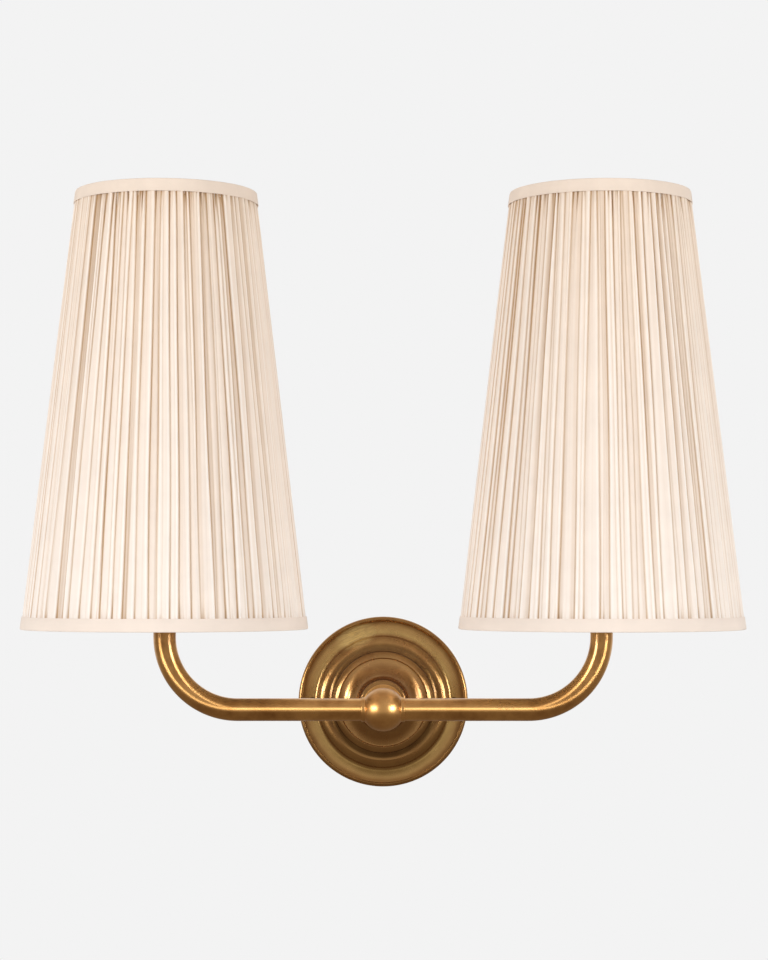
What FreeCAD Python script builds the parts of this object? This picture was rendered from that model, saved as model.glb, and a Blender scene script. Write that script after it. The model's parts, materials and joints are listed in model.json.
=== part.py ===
"""Double arm wall sconce with pleated shades.

Two bent brass tubes leave a turned ball to the left and the right, rise, and each carries a
screw lamp holder with a candle bulb and a tall pleated shade.  A hollow stem holds the ball
away from a spun round plate, and a steel strap behind the plate takes the wall screws.

The origin is the middle of the strap on the wall plane.  X runs to the right as seen from the
room, Y into the wall and Z up, so the arms lie in the plane Y = -projection.
"""

import FreeCAD
import Part

import math
import os

import Sketcher

# Every size in millimetres.  A text that starts with "=" is worked out from the other cells.
SIZES = [
    # the whole light
    ("projection", 88, "wall to the axis of the arms"),
    ("arm_reach", 122.5, "ball centre to the axis of a shade"),
    ("tube_top", 72, "upper end of an arm above the ball centre"),
    ("bend_radius", 41, "middle line of the bend in an arm"),
    ("tube_diameter", 12.7, "half inch tube"),
    ("tube_wall", 1.5, "wall of the arm tube"),
    ("tube_radius", "=tube_diameter / 2", ""),
    ("tube_bore", "=tube_radius - tube_wall", ""),
    ("fit_gap", 0.06, "radial clearance of pieces that are screwed or pushed together"),
    ("loose_gap", 0.3, "clearance round pieces that turn"),
    ("seat_gap", 0.1, "clearance under and over pieces that turn"),
    ("pole", 0.3, "flat in the middle of a domed end"),
    # threaded pipe that joins the pieces, with the wires inside
    ("pipe_radius", 5, "ten millimetre threaded pipe"),
    ("pipe_bore", 3.75, "radius of its bore"),
    ("pipe_hole", "=pipe_radius + fit_gap", ""),
    # ball
    ("ball_radius", 12.2, ""),
    ("collar_radius", 6.9, "collar round each tube"),
    ("collar_end", 12.1, "ball centre to the end of a collar"),
    ("collar_reach", "=collar_end - sqrt(ball_radius^2 - collar_radius^2)", ""),
    ("ball_length", "=2 * collar_end", ""),
    ("tube_hole", "=tube_radius + fit_gap", ""),
    ("tube_entry", 5.1, "depth that a tube goes into its collar"),
    ("tube_start", "=collar_end - tube_entry", ""),
    ("ball_bore", 4.5, "radius of the way for the wires"),
    ("spigot_radius", 8.3, "flat boss at the back of the ball"),
    ("spigot_end", 11.6, "ball centre to the face of that boss"),
    ("spigot_length", 4, ""),
    ("pipe_reach", 5, "ball centre to the front end of the pipe"),
    # spun plate, from the wall outwards
    ("plate_radius", 50.5, ""),
    ("plate_wall", 1.2, "sheet that the plate is spun from"),
    ("rim_side", 2.6, "straight part of the rim"),
    ("rim_top", 4.6, ""),
    ("rim_roll", 1.9, "how far the rolled edge comes in"),
    ("rim_width", 2.8, ""),
    ("flange_low", 4.2, "flange beside the rim"),
    ("flange_width", 6.2, "rim to where the dished flange starts to rise"),
    ("bowl_radius", "=plate_radius - rim_width - flange_width", ""),
    ("bowl_height", 4.6, ""),
    ("bowl_width", 2.7, "hollow rise, up to the shoulder"),
    ("shoulder_radius", "=bowl_radius - bowl_width", "where the hollow turns into a swell"),
    ("shoulder_low", 6.0, ""),
    ("shoulder_width", 3.9, ""),
    ("step_radius", "=shoulder_radius - shoulder_width", "crisp ring above the shoulder"),
    ("step_height", 8.6, ""),
    ("step_width", 0.6, ""),
    ("cove_width", 4.1, ""),
    ("cove_radius", "=step_radius - step_width - cove_width", "foot of the bead"),
    ("cove_height", 9.8, ""),
    ("bead_width", 3.9, ""),
    ("bead_radius", "=cove_radius - bead_width", "top edge of the bead"),
    ("bead_height", 13.2, ""),
    ("bead_step", 0.5, "fine step inside the bead"),
    ("hub_radius", 12.9, "flat top of the middle"),
    ("hub_height", 28, "wall to the flat top"),
    ("hub_edge", 0.9, ""),
    # turned stem between plate and ball
    ("stem_radius", 8, ""),
    ("stem_foot", 11.4, ""),
    ("foot_height", 1.4, ""),
    ("foot_step", 1.2, ""),
    ("foot_cove", 3.4, ""),
    ("stem_length", "=projection - spigot_end - hub_height", ""),
    ("washer_radius", 9, ""),
    ("washer_height", 1, ""),
    ("nut_radius", 8.1, "across the corners"),
    ("nut_height", 4, ""),
    ("pipe_proud", 1.5, "pipe past the nut"),
    ("washer_back", "=hub_height - plate_wall - washer_height", ""),
    ("nut_back", "=washer_back - nut_height", ""),
    ("pipe_back", "=nut_back - pipe_proud", ""),
    ("stem_pipe_length", "=projection - pipe_reach - pipe_back", ""),
    # wall strap and what is on it
    ("strap_margin", 4.5, "end of the strap to the outside of the plate"),
    ("strap_length", "=2 * (plate_radius - strap_margin)", ""),
    ("strap_width", 18, ""),
    ("strap_height", 2, "thickness of the steel"),
    ("slot_margin", 16, "wall screw to the end of the strap"),
    ("slot_spacing", "=strap_length - 2 * slot_margin", "between the two wall screws"),
    ("slot_length", 12, "end to end"),
    ("slot_width", 4.8, ""),
    ("screw_margin", 4, "plate screw to the end of the strap"),
    ("screw_spacing", "=strap_length - 2 * screw_margin", "between the two plate screws"),
    ("screw_radius", 1.5, ""),
    ("screw_seat", 4.8, "edge of a screw head above the wall"),
    ("head_radius", 2.7, ""),
    ("head_cone", 1.2, ""),
    ("head_dome", 0.8, ""),
    ("screw_end", 0.2, "screw tip above the wall"),
    ("driver_slot", 0.6, "width and depth of the slot in a screw head"),
    ("earth_radius", 2, ""),
    ("earth_head", 3.7, ""),
    ("earth_head_height", 2.2, ""),
    ("earth_dome", 0.6, ""),
    ("block_length", 17, "terminal block"),
    ("block_width", 10, ""),
    ("block_height", 11, ""),
    ("block_hole_depth", 5, ""),
    # wires inside the tubes
    ("lead_radius", 1.5, "two core lead"),
    ("lead_place", 1.75, "lead to the middle of the stem"),
    ("lead_bend", 4, "middle line of its bend inside the ball"),
    # lamp holder, from the top of the tube upwards
    ("thread_depth", 12, "pipe inside the arm tube"),
    ("holder_pipe_length", 18, ""),
    ("cup_foot", 7.4, "turned brass cup"),
    ("cup_radius", 15, ""),
    ("cup_side", 5.4, "where the flare ends"),
    ("cup_height", 8, ""),
    ("cup_floor", 3.2, ""),
    ("cup_wall", 1.2, ""),
    ("base_radius", 12.4, "moulded base of the holder"),
    ("base_height", 16, ""),
    ("base_floor", 3, ""),
    ("base_wall", 1.8, ""),
    ("sleeve_radius", 14, "threaded sleeve"),
    ("sleeve_wall", 2.2, ""),
    ("sleeve_overlap", 6, "sleeve over the base"),
    ("sleeve_height", 27, ""),
    ("sleeve_top", 1.6, ""),
    ("sleeve_mouth", 9.6, ""),
    ("flange_radius", 16.8, "flange that carries the shade"),
    ("flange_height", 1.6, ""),
    ("flange_top", 12, "its upper face above the foot of the sleeve"),
    ("insert_radius", "=base_radius - base_wall - fit_gap", "moulded insert"),
    ("insert_flange", 8, ""),
    ("insert_neck", 9.2, ""),
    ("insert_height", 30, ""),
    ("insert_seat", 10, ""),
    ("rivet_radius", 1.7, ""),
    ("rivet_depth", 7, "shank of the centre contact"),
    ("shell_radius", 7.5, "screw shell"),
    ("shell_wall", 0.4, ""),
    ("shell_height", 20, ""),
    ("contact_height", 1.4, ""),
    ("contact_edge", 0.6, ""),
    ("contact_radius", 3.4, ""),
    ("ring_radius", 18, "threaded ring that clamps the shade"),
    ("ring_height", 7, ""),
    ("ring_edge", 0.6, ""),
    ("base_place", "=tube_top + cup_floor", "foot of the base above the ball centre"),
    ("insert_place", "=base_place + base_floor", ""),
    ("seat_place", "=insert_place + insert_seat", ""),
    ("sleeve_place", "=base_place + base_height - sleeve_overlap", ""),
    ("carrier_place", "=sleeve_place + flange_top + seat_gap", ""),
    ("holder_pipe_place", "=tube_top - thread_depth", ""),
    ("lead_end", "=insert_place", ""),
    # candle bulb
    ("tip_radius", 2.2, "solder tip"),
    ("tip_height", 0.8, ""),
    ("glass_cone", 4, "black cone under the cap"),
    ("cap_radius", "=shell_radius - shell_wall - seat_gap", ""),
    ("cap_height", 23, ""),
    ("cap_flare", 7.8, ""),
    ("cap_top", 25, ""),
    ("bulb_neck", 7.5, ""),
    ("bulb_radius", 17.5, ""),
    ("bulb_belly", 28, "widest place above the cap"),
    ("bulb_height", 75, "glass above the cap"),
    ("bulb_nose", 1.6, ""),
    ("glass_wall", 0.9, ""),
    ("bulb_place", "=seat_place + contact_height + seat_gap", ""),
    ("glass_place", "=bulb_place + cap_top", ""),
    # shade, from the outside inwards
    ("shade_height", 246, ""),
    ("shade_bottom", 80.5, "outer radius of the lower trim"),
    ("shade_top", 51.3, "outer radius of the upper trim"),
    ("trim_height", 7, ""),
    ("trim_inside", 5, "upper trim folded over to the inside"),
    ("trim_cloth", 0.5, ""),
    ("layer_gap", 0.1, "between the layers of a shade"),
    ("pleat_depth", 1.7, "at the lower edge"),
    ("pleat_cloth", 0.5, "thickness behind the folds"),
    ("pleat_count", 76, "main folds of a cover"),
    ("backing_wall", 0.5, "stiff lining"),
    ("wire_radius", 1.2, "edge rings"),
    ("spider_drop", 52.3, "carrier above the lower edge of the shade"),
    ("carrier_radius", 17.6, ""),
    ("carrier_height", 1.8, ""),
    ("arm_width", 4, "flat arms of the carrier"),
    ("arm_height", 1.6, ""),
    ("arm_level", 6, "level part of such an arm"),
    ("shade_place", "=carrier_place - spider_drop", "lower edge above the ball centre"),
    ("cone_slope", "=(shade_bottom - shade_top) / shade_height", ""),
]

# Sizes that follow from the ones above.
WORKED_OUT = [
    ("bend_start", "=arm_reach - bend_radius"),
    ("half_screw_spacing", "=screw_spacing / 2"),
    ("screw_hole", "=screw_radius + fit_gap"),
    ("sink_height", "=head_cone + head_dome"),
    ("sink_radius", "=screw_hole + (head_radius - screw_radius) * sink_height / head_cone"),
    ("screw_length", "=screw_seat - head_cone - screw_end"),
    ("head_width", "=2 * head_radius"),
    ("half_strap", "=strap_length / 2"),
    ("half_strap_width", "=strap_width / 2"),
    ("slot_left", "=(strap_length - slot_spacing) / 2"),
    ("slot_right", "=(strap_length + slot_spacing) / 2"),
    ("slot_radius", "=slot_width / 2"),
    ("slot_straight", "=(slot_length - slot_width) / 2"),
    ("slot_low", "=(strap_width - slot_width) / 2"),
    ("slot_high", "=(strap_width + slot_width) / 2"),
    ("screw_left", "=(strap_length - screw_spacing) / 2"),
    ("screw_right", "=(strap_length + screw_spacing) / 2"),
    ("earth_hole", "=earth_radius + fit_gap"),
    ("earth_place", "=(block_length + slot_spacing - slot_length) / 4"),
    ("earth_left", "=strap_length / 2 - earth_place"),
    ("half_block", "=block_length / 2"),
    ("half_block_width", "=block_width / 2"),
    ("lead_hole", "=lead_radius + fit_gap"),
    ("edge_gap", "=trim_cloth + layer_gap"),
    ("ring_top", "=edge_gap + 2 * wire_radius + layer_gap"),
    ("trim_lean", "=trim_height * cone_slope"),
    ("fold_low", "=shade_bottom - trim_cloth - layer_gap - edge_gap * cone_slope"),
    ("fold_high", "=shade_top - trim_cloth - layer_gap + edge_gap * cone_slope"),
    ("cover_low", "=fold_low - pleat_depth - pleat_cloth"),
    ("cover_high", "=cover_low * fold_high / fold_low"),
    ("lining_low", "=cover_low - layer_gap"),
    ("lining_high", "=cover_high - layer_gap"),
    ("wire_lean", "=2 * wire_radius * cone_slope"),
    ("lower_wire", "=lining_low - backing_wall - layer_gap - wire_lean - wire_radius"),
    ("upper_wire", "=lining_high - backing_wall - layer_gap - wire_radius"),
    ("lower_inside", "=lower_wire - wire_radius - layer_gap - trim_cloth"),
    ("upper_inside", "=upper_wire - wire_radius - layer_gap - trim_cloth"),
]

QUARTER = (math.sqrt(2) - 1) / 2  # height of a quarter round over its chord
FAINT = 0.03
SHALLOW = 0.06
GENTLE = 0.12
BELLY = 0.08  # two such arcs meet without a corner at the widest place of a bulb

FRONT = FreeCAD.Rotation(FreeCAD.Vector(1, 0, 0), 90)  # a turned piece that points to the room
SIDEWAYS = FreeCAD.Rotation(FreeCAD.Vector(0, 1, 0), 90)  # one that points to the right
HALF_TURN = FreeCAD.Rotation(FreeCAD.Vector(0, 0, 1), 180)
UPRIGHT = FreeCAD.Rotation()

doc = FreeCAD.newDocument("double_arm_wall_sconce")
sheet = doc.addObject("Spreadsheet::Sheet", "sizes")
for row, (alias, value, *note) in enumerate(SIZES + WORKED_OUT, start=1):
    sheet.set("A%d" % row, alias.replace("_", " "))
    sheet.set("B%d" % row, str(value))
    sheet.setAlias("B%d" % row, alias)
    sheet.set("C%d" % row, "".join(note))
doc.recompute()

parts = []


# ---------------------------------------------------------------- sizes and sketches
def size(words):
    """Work out a sum of sizes, such as "plate_radius - rim_roll"."""
    total, sign = 0.0, 1
    for word in words.split():
        if word in "+-":
            sign = 1 if word == "+" else -1
        else:
            total += sign * (float(word) if word.isdigit() else sheet.get(word))
    return total


def bound(words):
    """Write such a sum as an expression, so that the model follows the sheet."""
    fixed = [word if word in "+-" or word.isdigit() else "sizes." + word for word in words.split()]
    return " ".join(fixed)


def bind(thing, **sizes):
    """Tie properties of an object to sums of sizes."""
    for name, words in sizes.items():
        thing.setExpression(name, bound(words))


def place(thing, across="0", out="0", up="0", turn=UPRIGHT):
    """Put a piece at its place: across to the right, out from the wall and up."""
    thing.Placement = FreeCAD.Placement(FreeCAD.Vector(0, 0, 0), turn)
    thing.setExpression("Placement.Base.x", bound(across))
    thing.setExpression("Placement.Base.y", "-(%s)" % bound(out))
    thing.setExpression("Placement.Base.z", bound(up))
    return thing


def keep(thing, label):
    """Name a finished sub-part and put it on the list that is written out."""
    thing.Label = label
    parts.append(thing)
    return thing


def draw_on(body, role, name):
    """Start a sketch on one of the origin planes of a body."""
    sketch = body.newObject("Sketcher::SketchObject", name)
    plane = next(feature for feature in body.Origin.OriginFeatures if feature.Role == role)
    sketch.AttachmentSupport = [(plane, "")]
    sketch.MapMode = "FlatFace"
    return sketch


def pin(sketch, edge, end, across, up):
    """Hold one end of an edge at its distances from the two axes of the sketch."""
    for kind, words, axis in (("DistanceX", across, -2), ("DistanceY", up, -1)):
        if abs(size(words)) < 1e-9:
            sketch.addConstraint(Sketcher.Constraint("PointOnObject", edge, end, axis))
            continue
        index = sketch.addConstraint(Sketcher.Constraint(kind, -1, 1, edge, end, size(words)))
        sketch.setExpression("Constraints[%d]" % index, bound(words))


def chord(start, stop):
    """Write the distance between two corners as an expression."""
    across = "(%s - (%s))" % (bound(start[0]), bound(stop[0]))
    up = "(%s - (%s))" % (bound(start[1]), bound(stop[1]))
    return "sqrt(%s ^ 2 + %s ^ 2)" % (across, up)


def corner_point(corner):
    """Give a corner's place in the sketch."""
    return FreeCAD.Vector(size(corner[0]), size(corner[1]), 0)


def end_near(sketch, edge, point):
    """Tell which end of an edge, 1 or 2, lies at a point."""
    return min((1, 2), key=lambda end: sketch.getPoint(edge, end).distanceToPoint(point))


def edge_between(sketch, start, stop):
    """Draw the edge that leaves a corner, straight or bent.

    A bend that is a number is the height of the arc over its chord, above 0 where the piece
    swells and below 0 where it is hollow.  A bend that is a text is the radius of a swelling arc.
    """
    first, last = corner_point(start), corner_point(stop)
    if len(start) < 3:
        return sketch.addGeometry(Part.LineSegment(first, last))
    along = last - first
    outwards = FreeCAD.Vector(along.y, -along.x, 0) * (1 / along.Length)
    if isinstance(start[2], str):
        radius = size(start[2])
        height = radius - math.sqrt(radius**2 - (along.Length / 2) ** 2)
        formula = bound(start[2])
    else:
        height = start[2] * along.Length
        formula = "%s * %.9f" % (chord(start, stop), (1 + 4 * start[2] ** 2) / (8 * abs(start[2])))
        radius = along.Length * (1 + 4 * start[2] ** 2) / (8 * abs(start[2]))
    middle = (first + last) * 0.5 + outwards * height
    edge = sketch.addGeometry(Part.Arc(first, middle, last))
    index = sketch.addConstraint(Sketcher.Constraint("Radius", edge, radius))
    sketch.setExpression("Constraints[%d]" % index, formula)
    return edge


def outline(sketch, corners):
    """Draw a closed profile through its corners, which run anticlockwise."""
    following = corners[1:] + corners[:1]
    edges = [edge_between(sketch, start, stop) for start, stop in zip(corners, following)]
    for edge, after, corner in zip(edges, edges[1:] + edges[:1], following):
        ends = [end_near(sketch, one, corner_point(corner)) for one in (edge, after)]
        sketch.addConstraint(Sketcher.Constraint("Coincident", edge, ends[0], after, ends[1]))
        pin(sketch, after, ends[1], corner[0], corner[1])


def turned(name, corners):
    """Make a body by turning a profile of (radius, height) corners about its upright axis."""
    body = doc.addObject("PartDesign::Body", name)
    sketch = draw_on(body, "XZ_Plane", name + "_profile")
    outline(sketch, corners)
    turn = body.newObject("PartDesign::Revolution", name + "_turn")
    turn.Profile = sketch
    turn.ReferenceAxis = (sketch, ["V_Axis"])
    turn.Angle = 360
    body.Tip = turn
    return body


def tube_corners(inner, outer, length):
    """Give the profile of a plain ring or tube."""
    return [(inner, "0"), (outer, "0"), (outer, length), (inner, length)]


def drill(body, name, radius, depth, across="0", along="0", up="0", turn=UPRIGHT):
    """Cut a round hole into a body, from a point in the body's own frame."""
    hole = body.newObject("PartDesign::SubtractiveCylinder", name)
    bind(hole, Radius=radius, Height=depth)
    hole.Placement = FreeCAD.Placement(FreeCAD.Vector(0, 0, 0), turn)
    for axis, words in zip("xyz", (across, along, up)):
        hole.setExpression("Placement.Base." + axis, bound(words))
    body.Tip = hole
    return hole


# ---------------------------------------------------------------- plate, stem and ball
def make_backplate():
    """Spin the round plate: rolled rim, hollow flange, step, cove, bead and rising middle."""
    plate = turned("backplate", [
        ("plate_radius - plate_wall", "0"),
        ("plate_radius", "0"),
        ("plate_radius", "rim_side", QUARTER),
        ("plate_radius - rim_roll", "rim_top"),
        ("plate_radius - rim_width", "flange_low", -FAINT),
        ("bowl_radius", "bowl_height", -SHALLOW),
        ("shoulder_radius", "shoulder_low", SHALLOW),
        ("step_radius", "step_height"),
        ("step_radius - step_width", "step_height", -GENTLE),
        ("cove_radius", "cove_height", QUARTER),
        ("bead_radius", "bead_height"),
        ("bead_radius - bead_step", "bead_height - bead_step", -QUARTER),
        ("hub_radius + hub_edge", "hub_height - hub_edge", GENTLE),
        ("hub_radius", "hub_height"),
        ("pipe_hole", "hub_height"),
        ("pipe_hole", "hub_height - plate_wall"),
        ("hub_radius - hub_edge", "hub_height - plate_wall", QUARTER),
        ("bead_radius - bead_step - plate_wall", "bead_height - bead_step - plate_wall"),
        ("bead_radius - bead_step", "bead_height - plate_wall", -QUARTER),
        ("cove_radius - plate_wall", "cove_height - plate_wall", GENTLE),
        ("step_radius - step_width", "step_height - plate_wall", -SHALLOW),
        ("shoulder_radius - plate_wall", "shoulder_low - plate_wall", SHALLOW),
        ("bowl_radius", "bowl_height - plate_wall", FAINT),
        ("plate_radius - rim_width", "flange_low - plate_wall", -GENTLE),
        ("plate_radius - plate_wall", "rim_side - plate_wall"),
    ])
    for name, sign in (("left", "- "), ("right", "")):
        x = sign + "half_screw_spacing"
        drill(plate, name + "_screw_hole", "screw_hole", "rim_top", across=x, up="strap_height")
        sink = plate.newObject("PartDesign::SubtractiveCone", name + "_countersink")
        bind(sink, Radius1="screw_hole", Radius2="sink_radius", Height="sink_height")
        sink.setExpression("Placement.Base.x", bound(x))
        sink.setExpression("Placement.Base.z", bound("screw_seat - head_cone"))
        plate.Tip = sink
    keep(place(plate, turn=FRONT), "backplate")


def make_stem():
    """Turn the hollow stem and its foot, and the pipe, washer and nut that clamp it."""
    stem = turned("stem", [
        ("pipe_hole", "0"),
        ("stem_foot", "0"),
        ("stem_foot", "foot_height"),
        ("stem_foot - foot_step", "foot_height"),
        ("stem_foot - foot_step", "foot_height + foot_height", -QUARTER),
        ("stem_radius", "foot_height + foot_height + foot_cove"),
        ("stem_radius", "stem_length"),
        ("pipe_hole", "stem_length"),
    ])
    keep(place(stem, out="hub_height", turn=FRONT), "stem")

    pipe = turned("stem_pipe", tube_corners("pipe_bore", "pipe_radius", "stem_pipe_length"))
    keep(place(pipe, out="pipe_back", turn=FRONT), "stem_pipe")

    washer = turned("stem_washer", tube_corners("pipe_hole", "washer_radius", "washer_height"))
    keep(place(washer, out="washer_back", turn=FRONT), "stem_washer")

    prism = doc.addObject("Part::Prism", "nut_prism")
    prism.Polygon = 6
    bind(prism, Circumradius="nut_radius", Height="nut_height")
    bore = doc.addObject("Part::Cylinder", "nut_bore")
    bind(bore, Radius="pipe_hole", Height="nut_height")
    nut = doc.addObject("Part::Cut", "stem_nut")
    nut.Base, nut.Tool = prism, bore
    keep(place(nut, out="nut_back", turn=FRONT), "stem_nut")


def make_ball():
    """Turn the ball with a collar at each side, and drill it for the tubes and the stem."""
    ball = turned("centre_ball", [
        ("tube_hole", "0"),
        ("collar_radius", "0"),
        ("collar_radius", "collar_reach", "ball_radius"),
        ("collar_radius", "ball_length - collar_reach"),
        ("collar_radius", "ball_length"),
        ("tube_hole", "ball_length"),
        ("tube_hole", "ball_length - tube_entry"),
        ("ball_bore", "ball_length - tube_entry"),
        ("ball_bore", "tube_entry"),
        ("tube_hole", "tube_entry"),
    ])
    backwards = FreeCAD.Rotation(FreeCAD.Vector(1, 0, 0), -90)
    boss = ball.newObject("PartDesign::AdditiveCylinder", "ball_boss")
    bind(boss, Radius="spigot_radius", Height="spigot_length")
    boss.Placement = FreeCAD.Placement(FreeCAD.Vector(0, 0, 0), backwards)
    boss.setExpression("Placement.Base.y", bound("spigot_end - spigot_length"))
    boss.setExpression("Placement.Base.z", bound("collar_end"))
    drill(ball, "ball_pipe_hole", "pipe_hole", "spigot_end", along="pipe_reach - fit_gap",
          up="collar_end", turn=backwards)
    drill(ball, "ball_lead_hole", "ball_bore", "pipe_reach", up="collar_end", turn=backwards)
    place(ball, across="- collar_end", out="projection", turn=SIDEWAYS)
    keep(ball, "centre_ball")


# ---------------------------------------------------------------- wall strap
def make_strap():
    """Cut the wall strap from flat steel: two long slots and three threaded holes."""
    strap = doc.addObject("PartDesign::Body", "wall_strap")
    sketch = draw_on(strap, "XY_Plane", "strap_outline")
    outline(sketch, [
        ("0", "0"),
        ("strap_length", "0"),
        ("strap_length", "strap_width"),
        ("0", "strap_width"),
    ])
    pad = strap.newObject("PartDesign::Pad", "strap_pad")
    pad.Profile = sketch
    bind(pad, Length="strap_height")
    slots = draw_on(strap, "XY_Plane", "strap_slots")
    for middle in ("slot_left", "slot_right"):
        outline(slots, [
            (middle + " - slot_straight", "slot_low"),
            (middle + " + slot_straight", "slot_low"),
            (middle + " + slot_straight", "slot_high"),
            (middle + " - slot_straight", "slot_high"),
        ])
    pocket = strap.newObject("PartDesign::Pocket", "strap_slot_pocket")
    pocket.Profile = slots
    pocket.Type = "ThroughAll"
    pocket.Midplane = True
    strap.Tip = pocket
    for middle in ("slot_left", "slot_right"):
        for name, sign in (("near", " - "), ("far", " + ")):
            drill(strap, "%s_%s_end" % (middle, name), "slot_radius", "strap_height",
                  across=middle + sign + "slot_straight", along="half_strap_width")
    middle = "half_strap_width"
    for name, x in (("left", "screw_left"), ("right", "screw_right")):
        drill(strap, name + "_strap_thread", "screw_hole", "strap_height", across=x, along=middle)
    drill(strap, "earth_thread", "earth_hole", "strap_height", across="earth_left", along=middle)
    keep(place(strap, across="- half_strap", up="- half_strap_width", turn=FRONT), "wall_strap")


def make_screws():
    """Turn the two raised countersunk screws that hold the plate, and the earth screw."""
    pair = []
    for name, sign in (("left", "- "), ("right", "")):
        screw = turned(name + "_plate_screw", [
            ("0", "0"),
            ("screw_radius", "0"),
            ("screw_radius", "screw_length"),
            ("head_radius", "screw_length + head_cone", GENTLE),
            ("0", "screw_length + head_cone + head_dome"),
        ])
        slot = screw.newObject("PartDesign::SubtractiveBox", name + "_driver_slot")
        bind(slot, Length="head_width", Width="driver_slot", Height="head_dome")
        slot.setExpression("Placement.Base.x", bound("- head_radius"))
        slot.setExpression("Placement.Base.y", "-%s / 2" % bound("driver_slot"))
        slot.setExpression("Placement.Base.z", bound("screw_length + head_cone + head_dome - driver_slot"))
        screw.Tip = slot
        pair.append(place(screw, across=sign + "half_screw_spacing", out="screw_end", turn=FRONT))
    screws = doc.addObject("Part::Compound", "plate_screws")
    screws.Links = pair
    keep(screws, "plate_screws")

    earth = turned("earth_screw", [
        ("0", "0"),
        ("earth_radius", "0"),
        ("earth_radius", "strap_height - screw_end"),
        ("earth_head", "strap_height - screw_end"),
        ("earth_head", "strap_height + earth_head_height", GENTLE),
        ("pole", "strap_height + earth_head_height + earth_dome"),
        ("0", "strap_height + earth_head_height + earth_dome"),
    ])
    keep(place(earth, across="- earth_place", out="screw_end", turn=FRONT), "earth_screw")


def make_terminal_block():
    """Mould the block on the strap that joins both leads to the house supply."""
    block = doc.addObject("PartDesign::Body", "terminal_block")
    body = block.newObject("PartDesign::AdditiveBox", "block_body")
    bind(body, Length="block_length", Width="block_width", Height="block_height")
    block.Tip = body
    depth = "block_height - block_hole_depth"
    for name, sign in (("left", "- "), ("right", "+ ")):
        x = "half_block " + sign + "lead_place"
        drill(block, name + "_wire_entry", "lead_hole", "block_hole_depth", across=x,
              along="half_block_width", up=depth)
    place(block, across="- half_block", out="strap_height", up="- half_block_width", turn=FRONT)
    keep(block, "terminal_block")


# ---------------------------------------------------------------- arms and wires
def make_arm(side, turn):
    """Bend an arm tube: out of the ball, round the bend and up to the holder."""
    arm = doc.addObject("PartDesign::Body", side + "_arm_tube")
    path = draw_on(arm, "XZ_Plane", side + "_arm_path")
    run = path.addGeometry(Part.LineSegment(
        corner_point(("tube_start", "0")), corner_point(("bend_start", "0"))))
    reach, bend = size("arm_reach"), size("bend_radius")
    middle = FreeCAD.Vector(reach - bend + bend * math.sin(math.pi / 4),
                            bend - bend * math.cos(math.pi / 4), 0)
    arc = path.addGeometry(Part.Arc(corner_point(("bend_start", "0")), middle,
                                    corner_point(("arm_reach", "bend_radius"))))
    rise = path.addGeometry(Part.LineSegment(
        corner_point(("arm_reach", "bend_radius")), corner_point(("arm_reach", "tube_top"))))
    path.addConstraint(Sketcher.Constraint("Tangent", run, 2, arc, 1))
    path.addConstraint(Sketcher.Constraint("Tangent", arc, 2, rise, 1))
    pin(path, run, 1, "tube_start", "0")
    pin(path, rise, 2, "arm_reach", "tube_top")
    path.addConstraint(Sketcher.Constraint("Vertical", rise))
    index = path.addConstraint(Sketcher.Constraint("Radius", arc, bend))
    path.setExpression("Constraints[%d]" % index, bound("bend_radius"))

    for kind, name, radius in (("AdditivePipe", "wall", "tube_radius"),
                               ("SubtractivePipe", "bore", "tube_bore")):
        ring = draw_on(arm, "YZ_Plane", "%s_arm_%s" % (side, name))
        ring.setExpression("AttachmentOffset.Base.z", bound("tube_start"))
        circle = ring.addGeometry(Part.Circle(FreeCAD.Vector(0, 0, 0), FreeCAD.Vector(0, 0, 1),
                                              size(radius)))
        ring.addConstraint(Sketcher.Constraint("Coincident", circle, 3, -1, 1))
        index = ring.addConstraint(Sketcher.Constraint("Radius", circle, size(radius)))
        ring.setExpression("Constraints[%d]" % index, bound(radius))
        pipe = arm.newObject("PartDesign::" + kind, "%s_arm_%s_sweep" % (side, name))
        pipe.Profile = ring
        pipe.Spine = path
        arm.Tip = pipe
    drill(arm, side + "_arm_thread", "pipe_hole", "thread_depth", across="arm_reach",
          up="tube_top - thread_depth")
    keep(place(arm, out="projection", turn=turn), side + "_arm_tube")


def make_lead(side, sign):
    """Lay a two core lead from the terminal block through stem, ball and arm to the holder."""
    bend, reach, depth = size("lead_bend"), size("arm_reach"), size("projection")
    near, turn = size("lead_place"), size("bend_radius")

    def at(x, y, z):
        """Give a point of the route, on the left or the right side."""
        return FreeCAD.Vector(sign * x, y, z)

    diagonal = 1 - math.cos(math.pi / 4)
    start = at(near, -size("strap_height + block_height - block_hole_depth + fit_gap"), 0)
    points = [start, at(near, bend - depth, 0), at(near + bend, -depth, 0),
              at(reach - turn, -depth, 0), at(reach, -depth, turn),
              at(reach, -depth, size("lead_end"))]
    ball_bend = at(near + bend * diagonal, bend * diagonal - depth, 0)
    arm_bend = at(reach - turn * diagonal, -depth, turn * diagonal)
    edges = [Part.LineSegment(points[0], points[1]), Part.Arc(points[1], ball_bend, points[2]),
             Part.LineSegment(points[2], points[3]), Part.Arc(points[3], arm_bend, points[4]),
             Part.LineSegment(points[4], points[5])]
    route = Part.Wire([edge.toShape() for edge in edges])
    section = Part.Wire(Part.makeCircle(size("lead_radius"), start, FreeCAD.Vector(0, -1, 0)))
    lead = doc.addObject("Part::Feature", side + "_lead")
    lead.Shape = route.makePipeShell([section], True, True)
    expected = math.pi * size("lead_radius") ** 2 * route.Length
    print("%s lead: %.1f mm long, bends %.1f and %.1f mm, volume ratio %.4f"
          % (side, route.Length, bend, turn, lead.Shape.Volume / expected))
    keep(lead, side + "_lead")


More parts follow.
